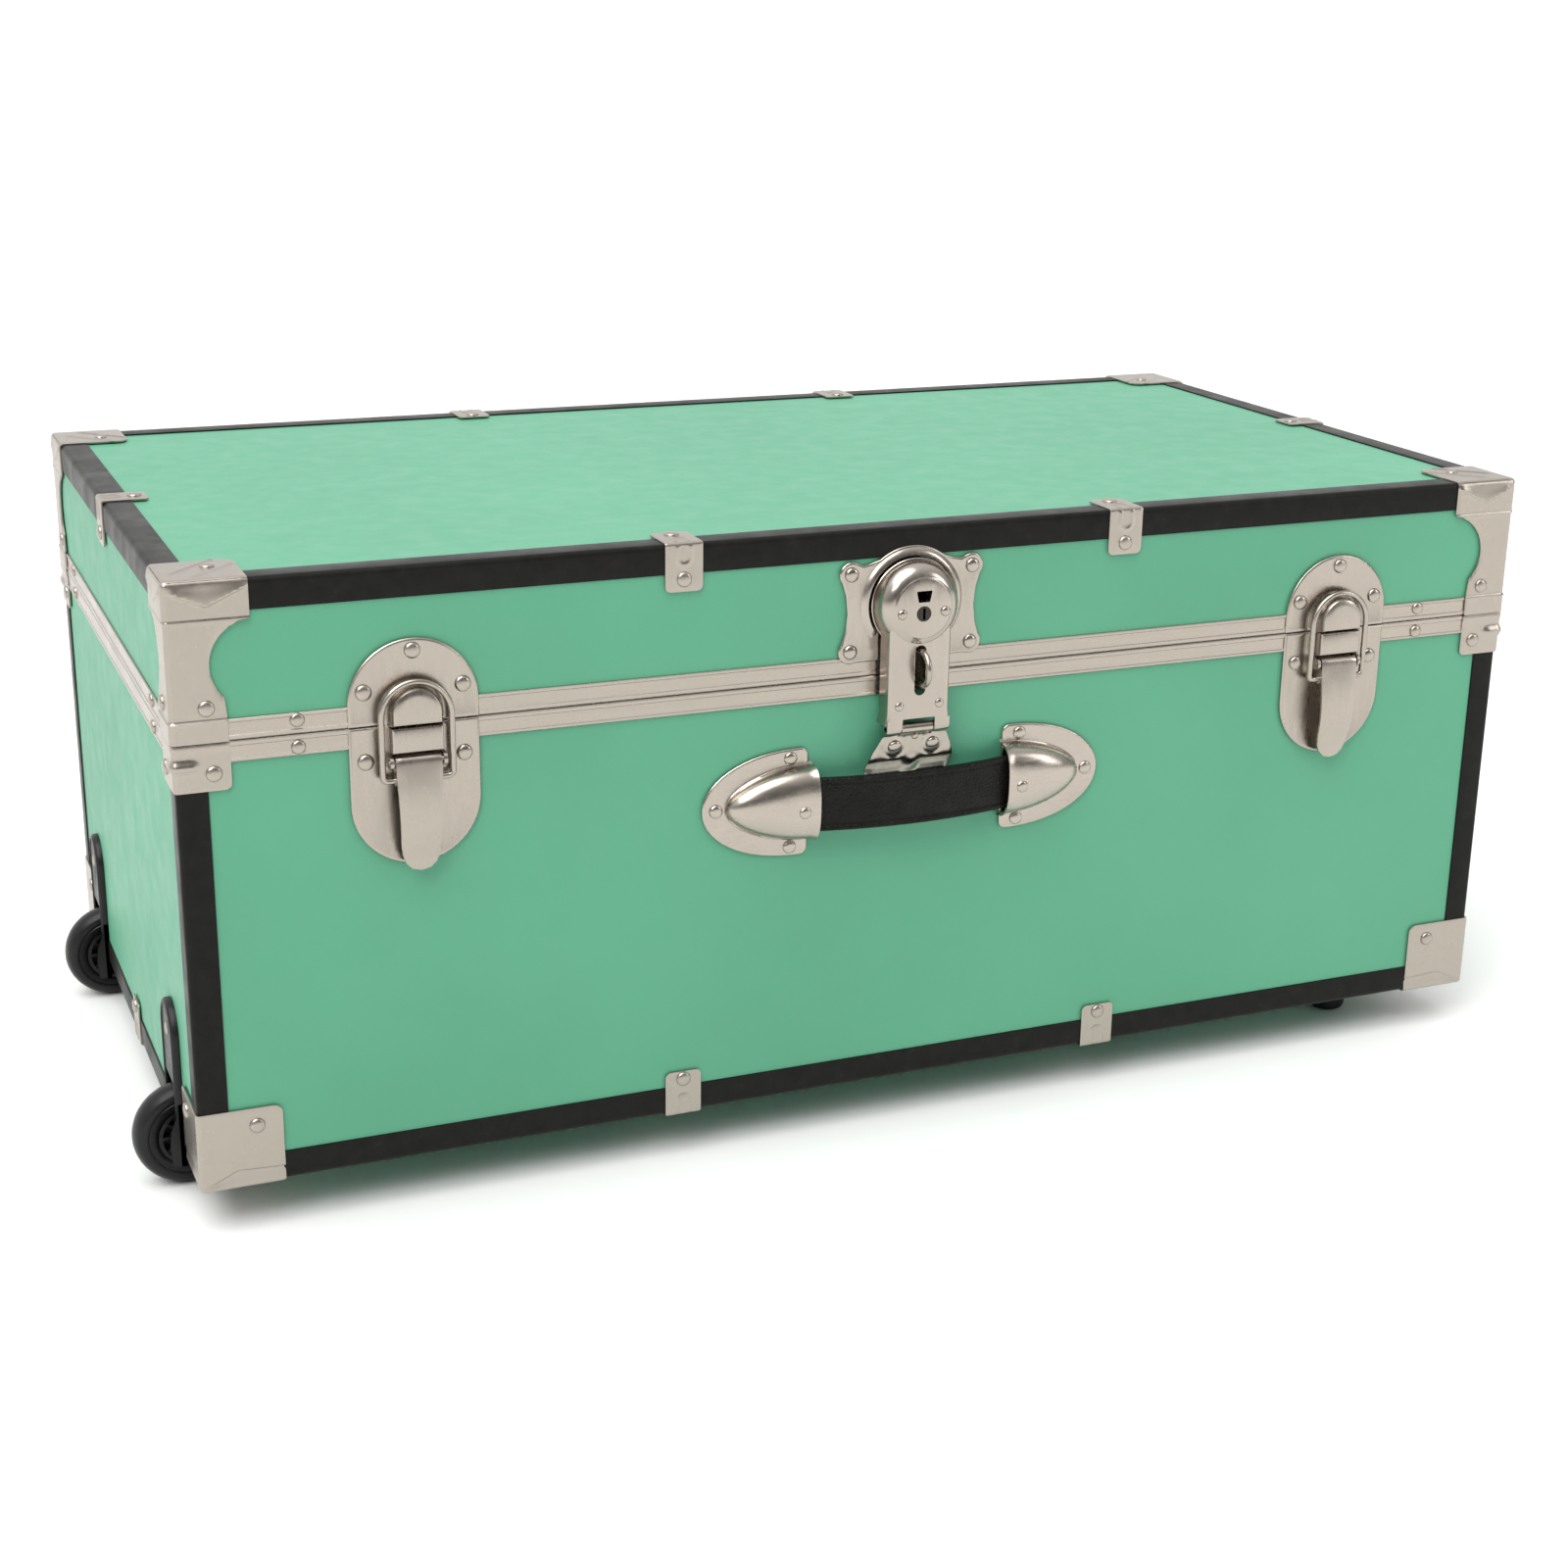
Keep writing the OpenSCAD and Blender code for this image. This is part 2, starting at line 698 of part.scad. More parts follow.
// The hasp: a dome over the lock and a channel down to its hinge
module hasp() color(bright) {
    wall_t = 0.8;
    rim_y = -3;
    face_r = 16;
    neck_top = 262;
    channel_low = 208.8;
    slot_low = staple_low - staple_r - 1.4;
    slot_high = staple_high + staple_r + 1.2;
    knuckle_in = 9.3;
    steps = 6;
    // A quarter bend from the dome's rim to its flat face
    bend = [for (i = [0 : steps]) [
        face_r + (dome_r - face_r) * cos(i * 90 / steps),
        -rim_y + (dome_out + rim_y) * sin(i * 90 / steps)
    ]];
    inner = [for (i = [steps : -1 : 0]) [
        face_r + (dome_r - face_r - wall_t) * cos(i * 90 / steps),
        -rim_y + (dome_out + rim_y - wall_t) * sin(i * 90 / steps)
    ]];
    difference() {
        union() {
            difference() {
                translate([0, 0, dome_z]) rotate([90, 0, 0]) rotate_extrude($fn = fine)
                    polygon(concat(bend, [[0, dome_out], [0, dome_out - wall_t]], inner));
                slab([-hasp_w + wall_t, -hasp_out + wall_t, 240], [hasp_w - wall_t, 0, neck_top]);
            }
            difference() {
                slab([-hasp_w, -hasp_out, channel_low], [hasp_w, rim_y, neck_top]);
                slab([-hasp_w + wall_t, -hasp_out + wall_t, 200], [hasp_w - wall_t, 1, neck_top + 1]);
                rod_y(dome_r - wall_t, -dome_out - 1, 1, 0, dome_z);
            }
            both_ends() {
                rod_x(hasp_knuckle_r, knuckle_in, hasp_w, -hasp_pin_out, hasp_z);
                slab(
                    [knuckle_in, -hasp_out + eps, hasp_z],
                    [hasp_w, -hasp_pin_out, channel_low + 1]
                );
            }
        }
        rod_x(hasp_pin_r + fit, -hasp_w - 1, hasp_w + 1, -hasp_pin_out, hasp_z);
        slab([-3, -dome_out - 1, slot_low], [3, -8, slot_high]);
        rod_y(plug_r + fit, -dome_out - 1, -10, 0, plug_z);
        slab([-window[0], -dome_out - 1, window[1]], [window[0], -10, window[2]]);
        slab([-knuckle_in, -hasp_out - 1, 200], [knuckle_in, 0, hasp_z + 4.5]);
    }
    both_ends() {
        front_rivet(12.3, 268.7, dome_out, 2.6);
        front_rivet(11.5, 218.8, hasp_out, 2.2);
    }
}

// The lock's case, behind the dome's face, bored for the plug
module lock_case() color(steel) {
    half = 11;
    case_z = [259, 280.6];
    difference() {
        slab([-half, -dome_out + 1, case_z[0]], [half, -case_back, case_z[1]]);
        rod_y(plug_r + fit, -dome_out - 1, -1, 0, plug_z);
        slab([-window[0], -dome_out, window[1]], [window[0], -1, window[2]]);
    }
}

// The plug, with its key slot
module lock_plug() color(steel) {
    slot_half = 0.7;
    slot_end = 3;
    slot_back = 11.5;
    difference() {
        rod_y(plug_r, -dome_out - 0.4, -case_back + cam_gap, 0, plug_z);
        slab([-slot_half, -dome_out - 1, plug_z - slot_end], [slot_half, -slot_back, plug_z + slot_end]);
    }
}

// The cam on the plug's back, which a quarter turn brings up behind the lid's catch
module lock_cam() color(black) {
    cam_t = 1.8;
    cam_half = 3.2;
    boss_r = 5;
    near = -case_back + cam_gap;
    front_plate(near, near + cam_t) translate([0, plug_z]) {
        circle(boss_r);
        translate([0, -cam_half]) square([cam_reach - cam_half, 2 * cam_half]);
        translate([cam_reach - cam_half, 0]) circle(cam_half);
    }
}

// The plate on the body that the hasp turns on: it leans out from the wall to the pin
module hasp_hinge_plate() color(steel) {
    knuckle_half = 9;
    low = 177;
    top = hasp_z;
    difference() {
        union() {
            intersection() {
                side_profile(-25, 25) polygon([
                    [trim_t, low], [-1.6, low], [-4.5, 186], [-9.5, 200],
                    [-hasp_pin_out - hasp_knuckle_r, top], [-hasp_pin_out, top],
                    [-5, 200], [trim_t, 200]
                ]);
                front_plate(-20, 2) {
                    translate([-23, low + 6]) square([46, 7]);
                    for (x = [-17, 17]) translate([x, low + 6]) circle(6);
                    translate([-17, low]) square([34, 8]);
                    polygon([[-23, 190], [23, 190], [17.5, 202.5], [-17.5, 202.5]]);
                    translate([-knuckle_half, 200]) square([2 * knuckle_half, 10]);
                }
            }
            rod_x(hasp_knuckle_r, -knuckle_half, knuckle_half, -hasp_pin_out, hasp_z);
        }
        rod_x(hasp_pin_r, -30, 30, -hasp_pin_out, hasp_z);
    }
    both_ends() front_rivet(11, 193.5, 7.2, 3.2);
}

module hasp_hinge_pin() color(steel)
    rod_x(hasp_pin_r, -hasp_w, hasp_w, -hasp_pin_out, hasp_z);

// ---- lid ----

module lid_long_wall()
    slab([-half_l + trim_t, trim_t, lid_low + trim_t], [half_l - trim_t, wall, box_h - wall]);

module lid_front_panel() color(green) lid_long_wall();

module lid_rear_panel() color(green) translate([0, box_d, 0]) mirror([0, 1, 0]) lid_long_wall();

module lid_end_panels() color(green) both_ends()
    slab([half_l - wall, wall, lid_low + trim_t], [half_l - trim_t, box_d - wall, box_h - wall]);

module lid_top_panel() color(green)
    slab([-half_l + trim_t, trim_t, box_h - wall], [half_l - trim_t, box_d - trim_t, box_h - trim_t]);

module lid_lining() color(paper) difference() {
    slab([-half_l + wall, wall, lid_low + rail_h], [half_l - wall, box_d - wall, box_h - wall]);
    slab(
        [-half_l + wall + lining_t, wall + lining_t, lid_low],
        [half_l - wall - lining_t, box_d - wall - lining_t, box_h - wall - lining_t]
    );
}

module lid_rim_rail() color(steel) {
    wall_ring(lid_low, lid_low + rail_h, 0, trim_t);
    wall_ring(lid_low, lid_low + trim_t, 0, wall + sheet_t);
    wall_ring(lid_low, lid_low + rail_h, wall, wall + sheet_t);
}

module lid_edge_trims() color(black) translate([0, 0, box_h]) mirror([0, 0, 1]) {
    both_sides() angle_strip(-half_l + trim_w, half_l - trim_w);
    both_ends() end_strip(trim_w, box_d - trim_w);
}

// ---- lid hinges ----

// Where a knuckle band starts along the pin
function band_start(i) = -hinge_w / 2 + i * band + band_gap;

// Knuckle bands of a hinge, every second one
module knuckles(first) {
    for (i = [first : 2 : bands - 1])
        rod_x(knuckle_r, band_start(i), band_start(i) + band - 2 * band_gap, hinge_y, seam_h);
}

// One leaf, from the knuckles' line down, with clearance cut for the other's knuckles
module hinge_leaf(first) {
    clear = knuckle_r + 0.6;
    difference() {
        union() {
            slab([-hinge_w / 2, box_d, seam_h - leaf_h], [hinge_w / 2, box_d + leaf_t, seam_h - clear]);
            for (i = [first : 2 : bands - 1])
                slab(
                    [band_start(i), box_d, seam_h - clear - 0.4],
                    [band_start(i) + band - 2 * band_gap, box_d + leaf_t, seam_h - 0.3]
                );
            knuckles(first);
        }
        rod_x(hinge_pin_r + (first == 1 ? fit : 0), -hinge_w, hinge_w, hinge_y, seam_h);
    }
}

module hinge_body_leaves() color(steel) both_ends() translate([hinge_x, 0, 0]) hinge_leaf(0);

module hinge_lid_leaves() color(steel) both_ends() translate([hinge_x, 0, 2 * seam_h])
    mirror([0, 0, 1]) hinge_leaf(1);

module hinge_pins() color(steel) both_ends() translate([hinge_x, 0, 0])
    rod_x(hinge_pin_r, -hinge_w / 2, hinge_w / 2, hinge_y, seam_h);

// ---- handles, drawn at the origin with the box's face at y = 0 ----

// Half an ellipse with its flat side at x = 0
module half_oval(long, high)
    polygon([for (i = [-12 : 12]) [long * cos(i * 7.5), high * sin(i * 7.5)]]);

module handle_cap() translate([cap_tip - cap_len, 0, 0]) difference() {
    union() {
        front_plate(-sheet_t, trim_t) half_oval(cap_len, cap_half);
        front_plate(-8, 0) half_oval(cap_len - 13, 21);
        front_plate(-11, 0) half_oval(cap_len - 18, 18);
        front_plate(-13.5, 0) half_oval(cap_len - 26, 14);
    }
    // Room for the strap's end
    slab([-1, -11, -strap_h / 2 - 0.5], [strap_half_l - cap_tip + cap_len + 2, -2.5, strap_h / 2 + 0.5]);
}

module handle_caps() both_ends() {
    handle_cap();
    for (p = [[cap_tip - 7, 0], [cap_tip - cap_len + 9.5, 24.5], [cap_tip - cap_len + 9.5, -24.5]])
        front_rivet(p[0], p[1], sheet_t, 3.2);
}

// A strap bent to a gentle arc over its middle, with flat ends inside the caps
module handle_strap() {
    mid_y = -strap_out + strap_t / 2;
    end_y = mid_y + strap_sag;
    difference() {
        intersection() {
            translate([0, mid_y + strap_bend, -strap_h / 2])
                cylinder(r = strap_bend + strap_t / 2, h = strap_h, $fn = fine);
            slab([-strap_chord, -strap_out - 1, -strap_h / 2], [strap_chord, 0, strap_h / 2]);
        }
        translate([0, mid_y + strap_bend, -strap_h])
            cylinder(r = strap_bend - strap_t / 2, h = 2 * strap_h, $fn = fine);
    }
    both_ends() slab(
        [strap_chord - 1, end_y - 1.6, -strap_h / 2],
        [strap_half_l, end_y + 1.6, strap_h / 2]
    );
}

module on_front() translate([0, 0, handle_z]) children();

module on_right_end() translate([half_l, box_d / 2, handle_z]) rotate([0, 0, 90]) children();

module front_handle_caps() color(bright) on_front() handle_caps();

module front_handle_strap() color(rubber) on_front() handle_strap();

module end_handle_caps() color(bright) on_right_end() handle_caps();

module end_handle_strap() color(rubber) on_right_end() handle_strap();

translate(frame_shift) {
    front_panel();
    rear_panel();
    left_end_panel();
    right_end_panel();
    bottom_panel();
    body_lining();
    body_rim_rail();
    rim_tongue();
    bottom_front_trim();
    bottom_rear_trim();
    bottom_left_trim();
    bottom_right_trim();
    upright_trims();
    bottom_corner_caps();
    rim_corner_caps();
    body_edge_clips();
    body_rivets();
    front_wheel_housing();
    rear_wheel_housing();
    wheel_axles();
    front_wheel_tyre();
    rear_wheel_tyre();
    front_wheel_hub();
    rear_wheel_hub();
    feet();
    left_latch_plate();
    right_latch_plate();
    left_latch_keeper();
    right_latch_keeper();
    left_latch_lever();
    right_latch_lever();
    left_latch_bail();
    right_latch_bail();
    lever_pins();
    hasp_hinge_plate();
    hasp_hinge_pin();
    hasp();
    lock_case();
    lock_plug();
    lock_cam();
    lock_back_plate();
    lock_catch();
    padlock_staple();
    hinge_body_leaves();
    hinge_lid_leaves();
    hinge_pins();
    lid_top_panel();
    lid_front_panel();
    lid_rear_panel();
    lid_end_panels();
    lid_lining();
    lid_rim_rail();
    lid_edge_trims();
    lid_corner_caps();
    lid_edge_clips();
    lid_rivets();
    front_handle_caps();
    front_handle_strap();
    end_handle_caps();
    end_handle_strap();
}
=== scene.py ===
import math

import bmesh
import bpy
from mathutils import Matrix, Vector


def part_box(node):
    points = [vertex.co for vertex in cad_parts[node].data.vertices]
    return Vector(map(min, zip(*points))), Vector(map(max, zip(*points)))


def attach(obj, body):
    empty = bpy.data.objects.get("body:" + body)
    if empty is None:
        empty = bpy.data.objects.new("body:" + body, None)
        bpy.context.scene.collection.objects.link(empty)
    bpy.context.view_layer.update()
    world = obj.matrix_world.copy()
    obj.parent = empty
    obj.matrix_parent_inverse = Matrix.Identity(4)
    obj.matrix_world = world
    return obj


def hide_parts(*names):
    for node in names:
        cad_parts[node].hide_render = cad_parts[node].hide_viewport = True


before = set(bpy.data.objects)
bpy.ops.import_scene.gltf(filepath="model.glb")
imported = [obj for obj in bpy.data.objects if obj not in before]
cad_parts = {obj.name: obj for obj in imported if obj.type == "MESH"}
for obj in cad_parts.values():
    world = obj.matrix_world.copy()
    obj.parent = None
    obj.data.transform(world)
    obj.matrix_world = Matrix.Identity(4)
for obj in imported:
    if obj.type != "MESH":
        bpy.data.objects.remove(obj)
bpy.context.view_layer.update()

# Shapes below are in millimetres, in the box's own frame: x from the middle of its
# length, y from its front face inwards, z from its underside. "Out" is -y.
MM = 0.001
trim_low, trim_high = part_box("lid_edge_trims")
ORIGIN = Vector(((trim_low.x + trim_high.x) / 2, trim_low.y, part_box("bottom_front_trim")[0].z))


def low(node):
    return (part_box(node)[0] - ORIGIN) / MM


def high(node):
    return (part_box(node)[1] - ORIGIN) / MM


def middle(node):
    return (low(node) + high(node)) / 2


HALF = high("lid_edge_trims").x
DEPTH = high("lid_edge_trims").y
HEIGHT = high("lid_edge_trims").z
LID_LOW = low("lid_rim_rail").z
BODY_TOP = high("rim_corner_caps").z
TRIM_W = high("bottom_front_trim").z  # width of each leg of the edge trim
LEVER_PIN = middle("lever_pins")
HASP_PIN = middle("hasp_hinge_pin")
CLIP_X = 126  # the long edges' clips, either way from the middle
DOME_Z = 271  # middle of the hasp's dome


def turned(angle, axis="Z"):
    return Matrix.Rotation(math.radians(angle), 4, axis)


def put(name, data, location=(0, 0, 0), rotation=None):
    """An object in the scene, with a quaternion for its rotation if it has one."""
    obj = bpy.data.objects.new(name, data)
    obj.location = location
    if rotation:
        obj.rotation_mode = "QUATERNION"
        obj.rotation_quaternion = rotation
    bpy.context.scene.collection.objects.link(obj)
    return obj


# ---- outlines, as lists of (across, up) ----


def arc(cx, cz, r, start, end, steps=12):
    angles = [math.radians(start + (end - start) * i / steps) for i in range(steps + 1)]
    return [(cx + r * math.cos(a), cz + r * math.sin(a)) for a in angles]


def rounded(corners, radii, steps=6):
    """A polygon with each corner rounded to its own radius."""
    out = []
    for i, p in enumerate(corners):
        before, after = Vector(corners[i - 1]), Vector(corners[(i + 1) % len(corners)])
        p = Vector(p)
        radius = radii[i] if isinstance(radii, (list, tuple)) else radii
        if radius <= 0:
            out.append(tuple(p))
            continue
        a, b = (before - p).normalized(), (after - p).normalized()
        half = a.angle(b) / 2
        middle = p + (a + b).normalized() * radius / math.sin(half)
        first = p + a * radius / math.tan(half) - middle
        turn = first.angle_signed(p + b * radius / math.tan(half) - middle)
        for k in range(steps + 1):
            v = first.copy()
            v.rotate(Matrix.Rotation(-turn * k / steps, 2))
            out.append(tuple(middle + v))
    return out


def inset(outline, distance):
    """The outline moved inwards by a distance."""
    area = sum(a[0] * b[1] - b[0] * a[1] for a, b in zip(outline, outline[1:] + outline[:1]))
    side = 1 if area > 0 else -1
    out = []
    for i, p in enumerate(outline):
        p = Vector(p)
        a = (p - Vector(outline[i - 1])).normalized()
        b = (Vector(outline[(i + 1) % len(outline)]) - p).normalized()
        na, nb = Vector((-a.y, a.x)) * side, Vector((-b.y, b.x)) * side
        normal = (na + nb).normalized()
        out.append(tuple(p + normal * distance / max(normal.dot(na), 0.5)))
    return out


def mirrored(half_outline):
    """A half outline, and its mirror image in x that closes it."""
    return half_outline + [(-x, z) for x, z in reversed(half_outline)]


# ---- solids, as (points, faces) ----


def tube(loops, closed=False):
    """Faces between successive loops of as many points each, capped unless closed on itself."""
    n = len(loops[0])
    points = [tuple(p) for loop in loops for p in loop]
    faces = []
    count = len(loops)
    for k in range(count if closed else count - 1):
        a, b = k * n, (k + 1) % count * n
        faces += [(a + i, a + (i + 1) % n, b + (i + 1) % n, b + i) for i in range(n)]
    if not closed:
        faces.append(tuple(reversed(range(n))))
        faces.append(tuple(range((count - 1) * n, count * n)))
    return points, faces


def terrace(outline, steps):
    """A pressed boss seen from the front: the outline at each (inset, out), from its foot up."""
    return tube([[(x, -out, z) for x, z in inset(outline, d)] for d, out in steps])


def revolve(profile, centre, axis=(0, -1, 0), segments=48, closed=False):
    """A profile of (radius, height) turned about an axis. A closed one returns to its start."""
    turn = Vector((0, 0, 1)).rotation_difference(Vector(axis)).to_matrix()
    loops = []
    for r, h in profile:
        r = max(r, 0.01)
        ring = [(r * math.cos(a), r * math.sin(a), h) for a in
                (2 * math.pi * i / segments for i in range(segments))]
        loops.append([Vector(centre) + turn @ Vector(p) for p in ring])
    return tube(loops, closed)


def wire(path, r, sides=14):
    """A round wire along a path."""
    loops = []
    up = None
    for i, p in enumerate(path):
        a = Vector(path[max(i - 1, 0)])
        b = Vector(path[min(i + 1, len(path) - 1)])
        along = (b - a).normalized()
        up = along.orthogonal() if up is None else up - along * up.dot(along)
        up.normalize()
        side = along.cross(up)
        loops.append([Vector(p) + (up * math.cos(t) + side * math.sin(t)) * r for t in
                      (2 * math.pi * k / sides for k in range(sides))])
    return tube(loops)


def slab(a, b, r=0.0):
    """A block between two corners, with its edges along y rounded."""
    outline = rounded([(a[0], a[2]), (b[0], a[2]), (b[0], b[2]), (a[0], b[2])], r)
    return tube([[(x, b[1], z) for x, z in outline], [(x, a[1], z) for x, z in outline]])


def rivet(x, z, out, r=4.0, h=1.7, axis=(0, -1, 0), y=None):
    """A domed head on a front-facing surface, or at (x, y, z) along another axis."""
    profile = [(r, -0.6), (r, 0.18 * h), (0.93 * r, 0.5 * h), (0.76 * r, 0.76 * h),
               (0.52 * r, 0.92 * h), (0.25 * r, h), (0, h)]
    return revolve(profile, (x, -out if y is None else y, z), axis, 24)


def smooth(x, edge0, edge1):
    t = min(max((x - edge0) / (edge1 - edge0), 0), 1)
    return t * t * (3 - 2 * t)


def ridge(distance, width):
    """1 on a line, falling smoothly to 0 at a distance of the width."""
    return 0.5 + 0.5 * math.cos(math.pi * min(abs(distance) / width, 1))


def span(a, b, step):
    """Even steps from a to b, as near as possible to the step asked for."""
    count = max(1, round(abs(b - a) / step))
    return [a + (b - a) * i / count for i in range(count + 1)]


def between(x, points):
    """Height at x of a line drawn through points, carried on straight beyond its ends."""
    for (x0, y0), (x1, y1) in zip(points, points[1:]):
        if x <= x1:
            break
    return y0 + (y1 - y0) * (x - x0) / (x1 - x0)


def across(values):
    """Upright cutting lines, as (point, normal)."""
    return [((v, 0), (1, 0)) for v in values]


def up_at(values):
    """Level cutting lines."""
    return [((0, v), (0, 1)) for v in values]


def sheet(outline, cuts, lip=0.0):
    """A flat sheet cut along lines, ready to be pressed: (points, faces, border edges). A lip
    gives it one more row of faces along its edge."""
    bm = bmesh.new()
    face = bm.faces.new([bm.verts.new((u, v, 0)) for u, v in outline])
    bm.normal_update()
    if lip:
        bmesh.ops.inset_region(bm, faces=[face], thickness=lip, use_even_offset=True)
    for (u, v), (nu, nv) in cuts:
        geometry = bm.verts[:] + bm.edges[:] + bm.faces[:]
        bmesh.ops.bisect_plane(bm, geom=geometry, plane_co=(u, v, 0), plane_no=(nu, nv, 0), dist=1e-4)
    bm.verts.index_update()
    points = [(v.co.x, v.co.y) for v in bm.verts]
    faces = [tuple(v.index for v in f.verts) for f in bm.faces]
    border = [tuple(v.index for v in e.verts) for e in bm.edges if len(e.link_faces) == 1]
    bm.free()
    return points, faces, border


def pressed(flat, height, wrap, thickness):
    """The flat sheet pressed to height(u, v), with its rim turned down a little, laid in place by
    wrap(u, v, height)."""
    drop = 0.25
    points, faces, border = flat
    rim = {i for edge in border for i in edge}
    heights = [height(u, v) - (drop if i in rim else 0) for i, (u, v) in enumerate(points)]
    front = [wrap(u, v, h) for (u, v), h in zip(points, heights)]
    back = [wrap(u, v, h - thickness) for (u, v), h in zip(points, heights)]
    n = len(points)
    solid = faces + [tuple(i + n for i in reversed(f)) for f in faces]
    solid += [(a, b, b + n, a + n) for a, b in border]
    return front + back, solid


def clean(solid):
    """A bmesh of the solid, with doubled points merged and its faces turned outwards."""
    points, faces = solid
    bm = bmesh.new()
    verts = [bm.verts.new(p) for p in points]
    for f in faces:
        if len(set(f)) > 2:
            bm.faces.new([verts[i] for i in f])
    same = 0.004
    bmesh.ops.remove_doubles(bm, verts=bm.verts[:], dist=same)
    bmesh.ops.dissolve_degenerate(bm, dist=same, edges=bm.edges[:])
    bmesh.ops.recalc_face_normals(bm, faces=bm.faces[:])
    return bm


def to_mesh(name, bm):
    mesh = bpy.data.meshes.new(name)
    bm.to_mesh(mesh)
    bm.free()
    return mesh


def temporary(solid):
    """A plain object from a solid, in millimetres."""
    return put("temporary", to_mesh("temporary", clean(solid)))


def cut(solid, holes):
    """The solid with the holes cut out of it."""
    target = temporary(solid)
    tools = [temporary(hole) for hole in holes]
    for tool in tools:
        modifier = target.modifiers.new("hole", "BOOLEAN")
        modifier.object, modifier.operation, modifier.solver = tool, "DIFFERENCE", "EXACT"
    view = bpy.context.evaluated_depsgraph_get()
    result = bpy.data.meshes.new_from_object(target.evaluated_get(view))
    points = [tuple(v.co) for v in result.vertices]
    faces = [tuple(f.vertices) for f in result.polygons]
    bpy.data.meshes.remove(result)
    for obj in [target] + tools:
        bpy.data.meshes.remove(obj.data)
    return points, faces


class Piece:
    """One named object, gathered from solids."""

    def __init__(self, name):
        self.name = name
        self.bm = bmesh.new()

    def add(self, solid, place=None):
        """Adds a solid, moved by a matrix in millimetres if one is given."""
        part = clean(solid)
        if place is not None:
            part.transform(place)
            if place.determinant() < 0:
                bmesh.ops.reverse_faces(part, faces=part.faces[:])
        mesh = to_mesh("part", part)
        self.bm.from_mesh(mesh)
        bpy.data.meshes.remove(mesh)
        return self

    def make(self, material, body, stands_for, slot, sharp=32):
        """Turns the piece into an object that rides on a body and stands for any CAD nodes named."""
        self.bm.transform(Matrix.Translation(ORIGIN) @ Matrix.Scale(MM, 4))
        mesh = to_mesh(self.name, self.bm)
        obj = put(self.name, mesh)
        mesh.materials.append(material)
        mesh.shade_smooth()
        mesh.set_sharp_from_angle(angle=math.radians(sharp))
        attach(obj, body)
        if stands_for:
            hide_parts(*stands_for)


# ---- materials ----


def add_node(tree, kind, **inputs):
    """A new shader node. Each input is a number or the output that is linked to it."""
    node = tree.nodes.new("ShaderNode" + kind)
    for key, value in inputs.items():
        socket = node.inputs[key.replace("_", " ")]
        if isinstance(value, bpy.types.NodeSocket):
            tree.links.new(value, socket)
        else:
            socket.default_value = value
    return node


class Shader:
    """Builds one procedural material. Coordinates are the object's own, in metres."""

    def __init__(self, name, roughness, metallic=0.0, **sockets):
        self.material = bpy.data.materials.new(name)
        self.material.use_nodes = True
        self.tree = self.material.node_tree
        self.bsdf = self.tree.nodes["Principled BSDF"]
        self.bsdf.inputs["Roughness"].default_value = roughness
        self.bsdf.inputs["Metallic"].default_value = metallic
        for key, value in sockets.items():
            self.bsdf.inputs[key.replace("_", " ")].default_value = value
        self.coords = add_node(self.tree, "TexCoord").outputs["Object"]
        self.last_bump = None

    def noise(self, scale, detail=3.0, rough=0.55, streak=None):
        place = self.coords
        if streak:
            place = add_node(self.tree, "Mapping", Vector=place, Scale=streak).outputs["Vector"]
        node = add_node(self.tree, "TexNoise", Vector=place, Scale=scale, Detail=detail, Roughness=rough)
        return node.outputs["Fac"]

    def cells(self, scale):
        node = add_node(self.tree, "TexVoronoi", Vector=self.coords, Scale=scale)
        node.feature = "SMOOTH_F1"
        return node.outputs["Distance"]

    def ranged(self, value, a, b, least, most):
        return add_node(self.tree, "MapRange", Value=value, From_Min=a, From_Max=b, To_Min=least,
                        To_Max=most).outputs["Result"]

    def combine(self, a, b, operation="MULTIPLY"):
        node = add_node(self.tree, "Math")
        node.operation = operation
        for value, socket in zip((a, b), node.inputs):
            self.tree.links.new(value, socket)
        return node.outputs["Value"]

    def colour(self, factor, stops):
        node = add_node(self.tree, "ValToRGB", Fac=factor)
        ramp = node.color_ramp
        for i, (at, rgb) in enumerate(stops):
            element = ramp.elements[i] if i < 2 else ramp.elements.new(at)
            element.position = at
            element.color = (*rgb, 1)
        return node.outputs["Color"]

    def paint(self, colour):
        self.tree.links.new(colour, self.bsdf.inputs["Base Color"])

    def gloss(self, value):
        self.tree.links.new(value, self.bsdf.inputs["Roughness"])

    def bump(self, height, distance, strength=1.0):
        """Adds relief, with a depth in millimetres."""
        node = add_node(self.tree, "Bump", Height=height, Distance=distance * MM, Strength=strength)
        if self.last_bump is not None:
            self.tree.links.new(self.last_bump, node.inputs["Normal"])
        self.last_bump = node.outputs["Normal"]
        self.tree.links.new(self.last_bump, self.bsdf.inputs["Normal"])


def shade(rgb, factor):
    return tuple(c * factor for c in rgb)


def vinyl():
    """Green vinyl with a fine leather grain, drawn over board that is never quite flat."""
    green = (0.096, 0.352, 0.214)
    s = Shader("green_vinyl", 0.42, Specular_IOR_Level=0.38)
    s.paint(s.colour(s.noise(5, 4), [(0.3, shade(green, 0.94)), (0.7, shade(green, 1.05))]))
    grain = s.combine(s.cells(560), s.noise(900, 3))
    s.gloss(s.ranged(s.noise(60, 4), 0.3, 0.7, 0.40, 0.52))
    s.bump(s.noise(9, 1), 0.5, 0.5)
    s.bump(grain, 0.16, 0.75)
    return s.material


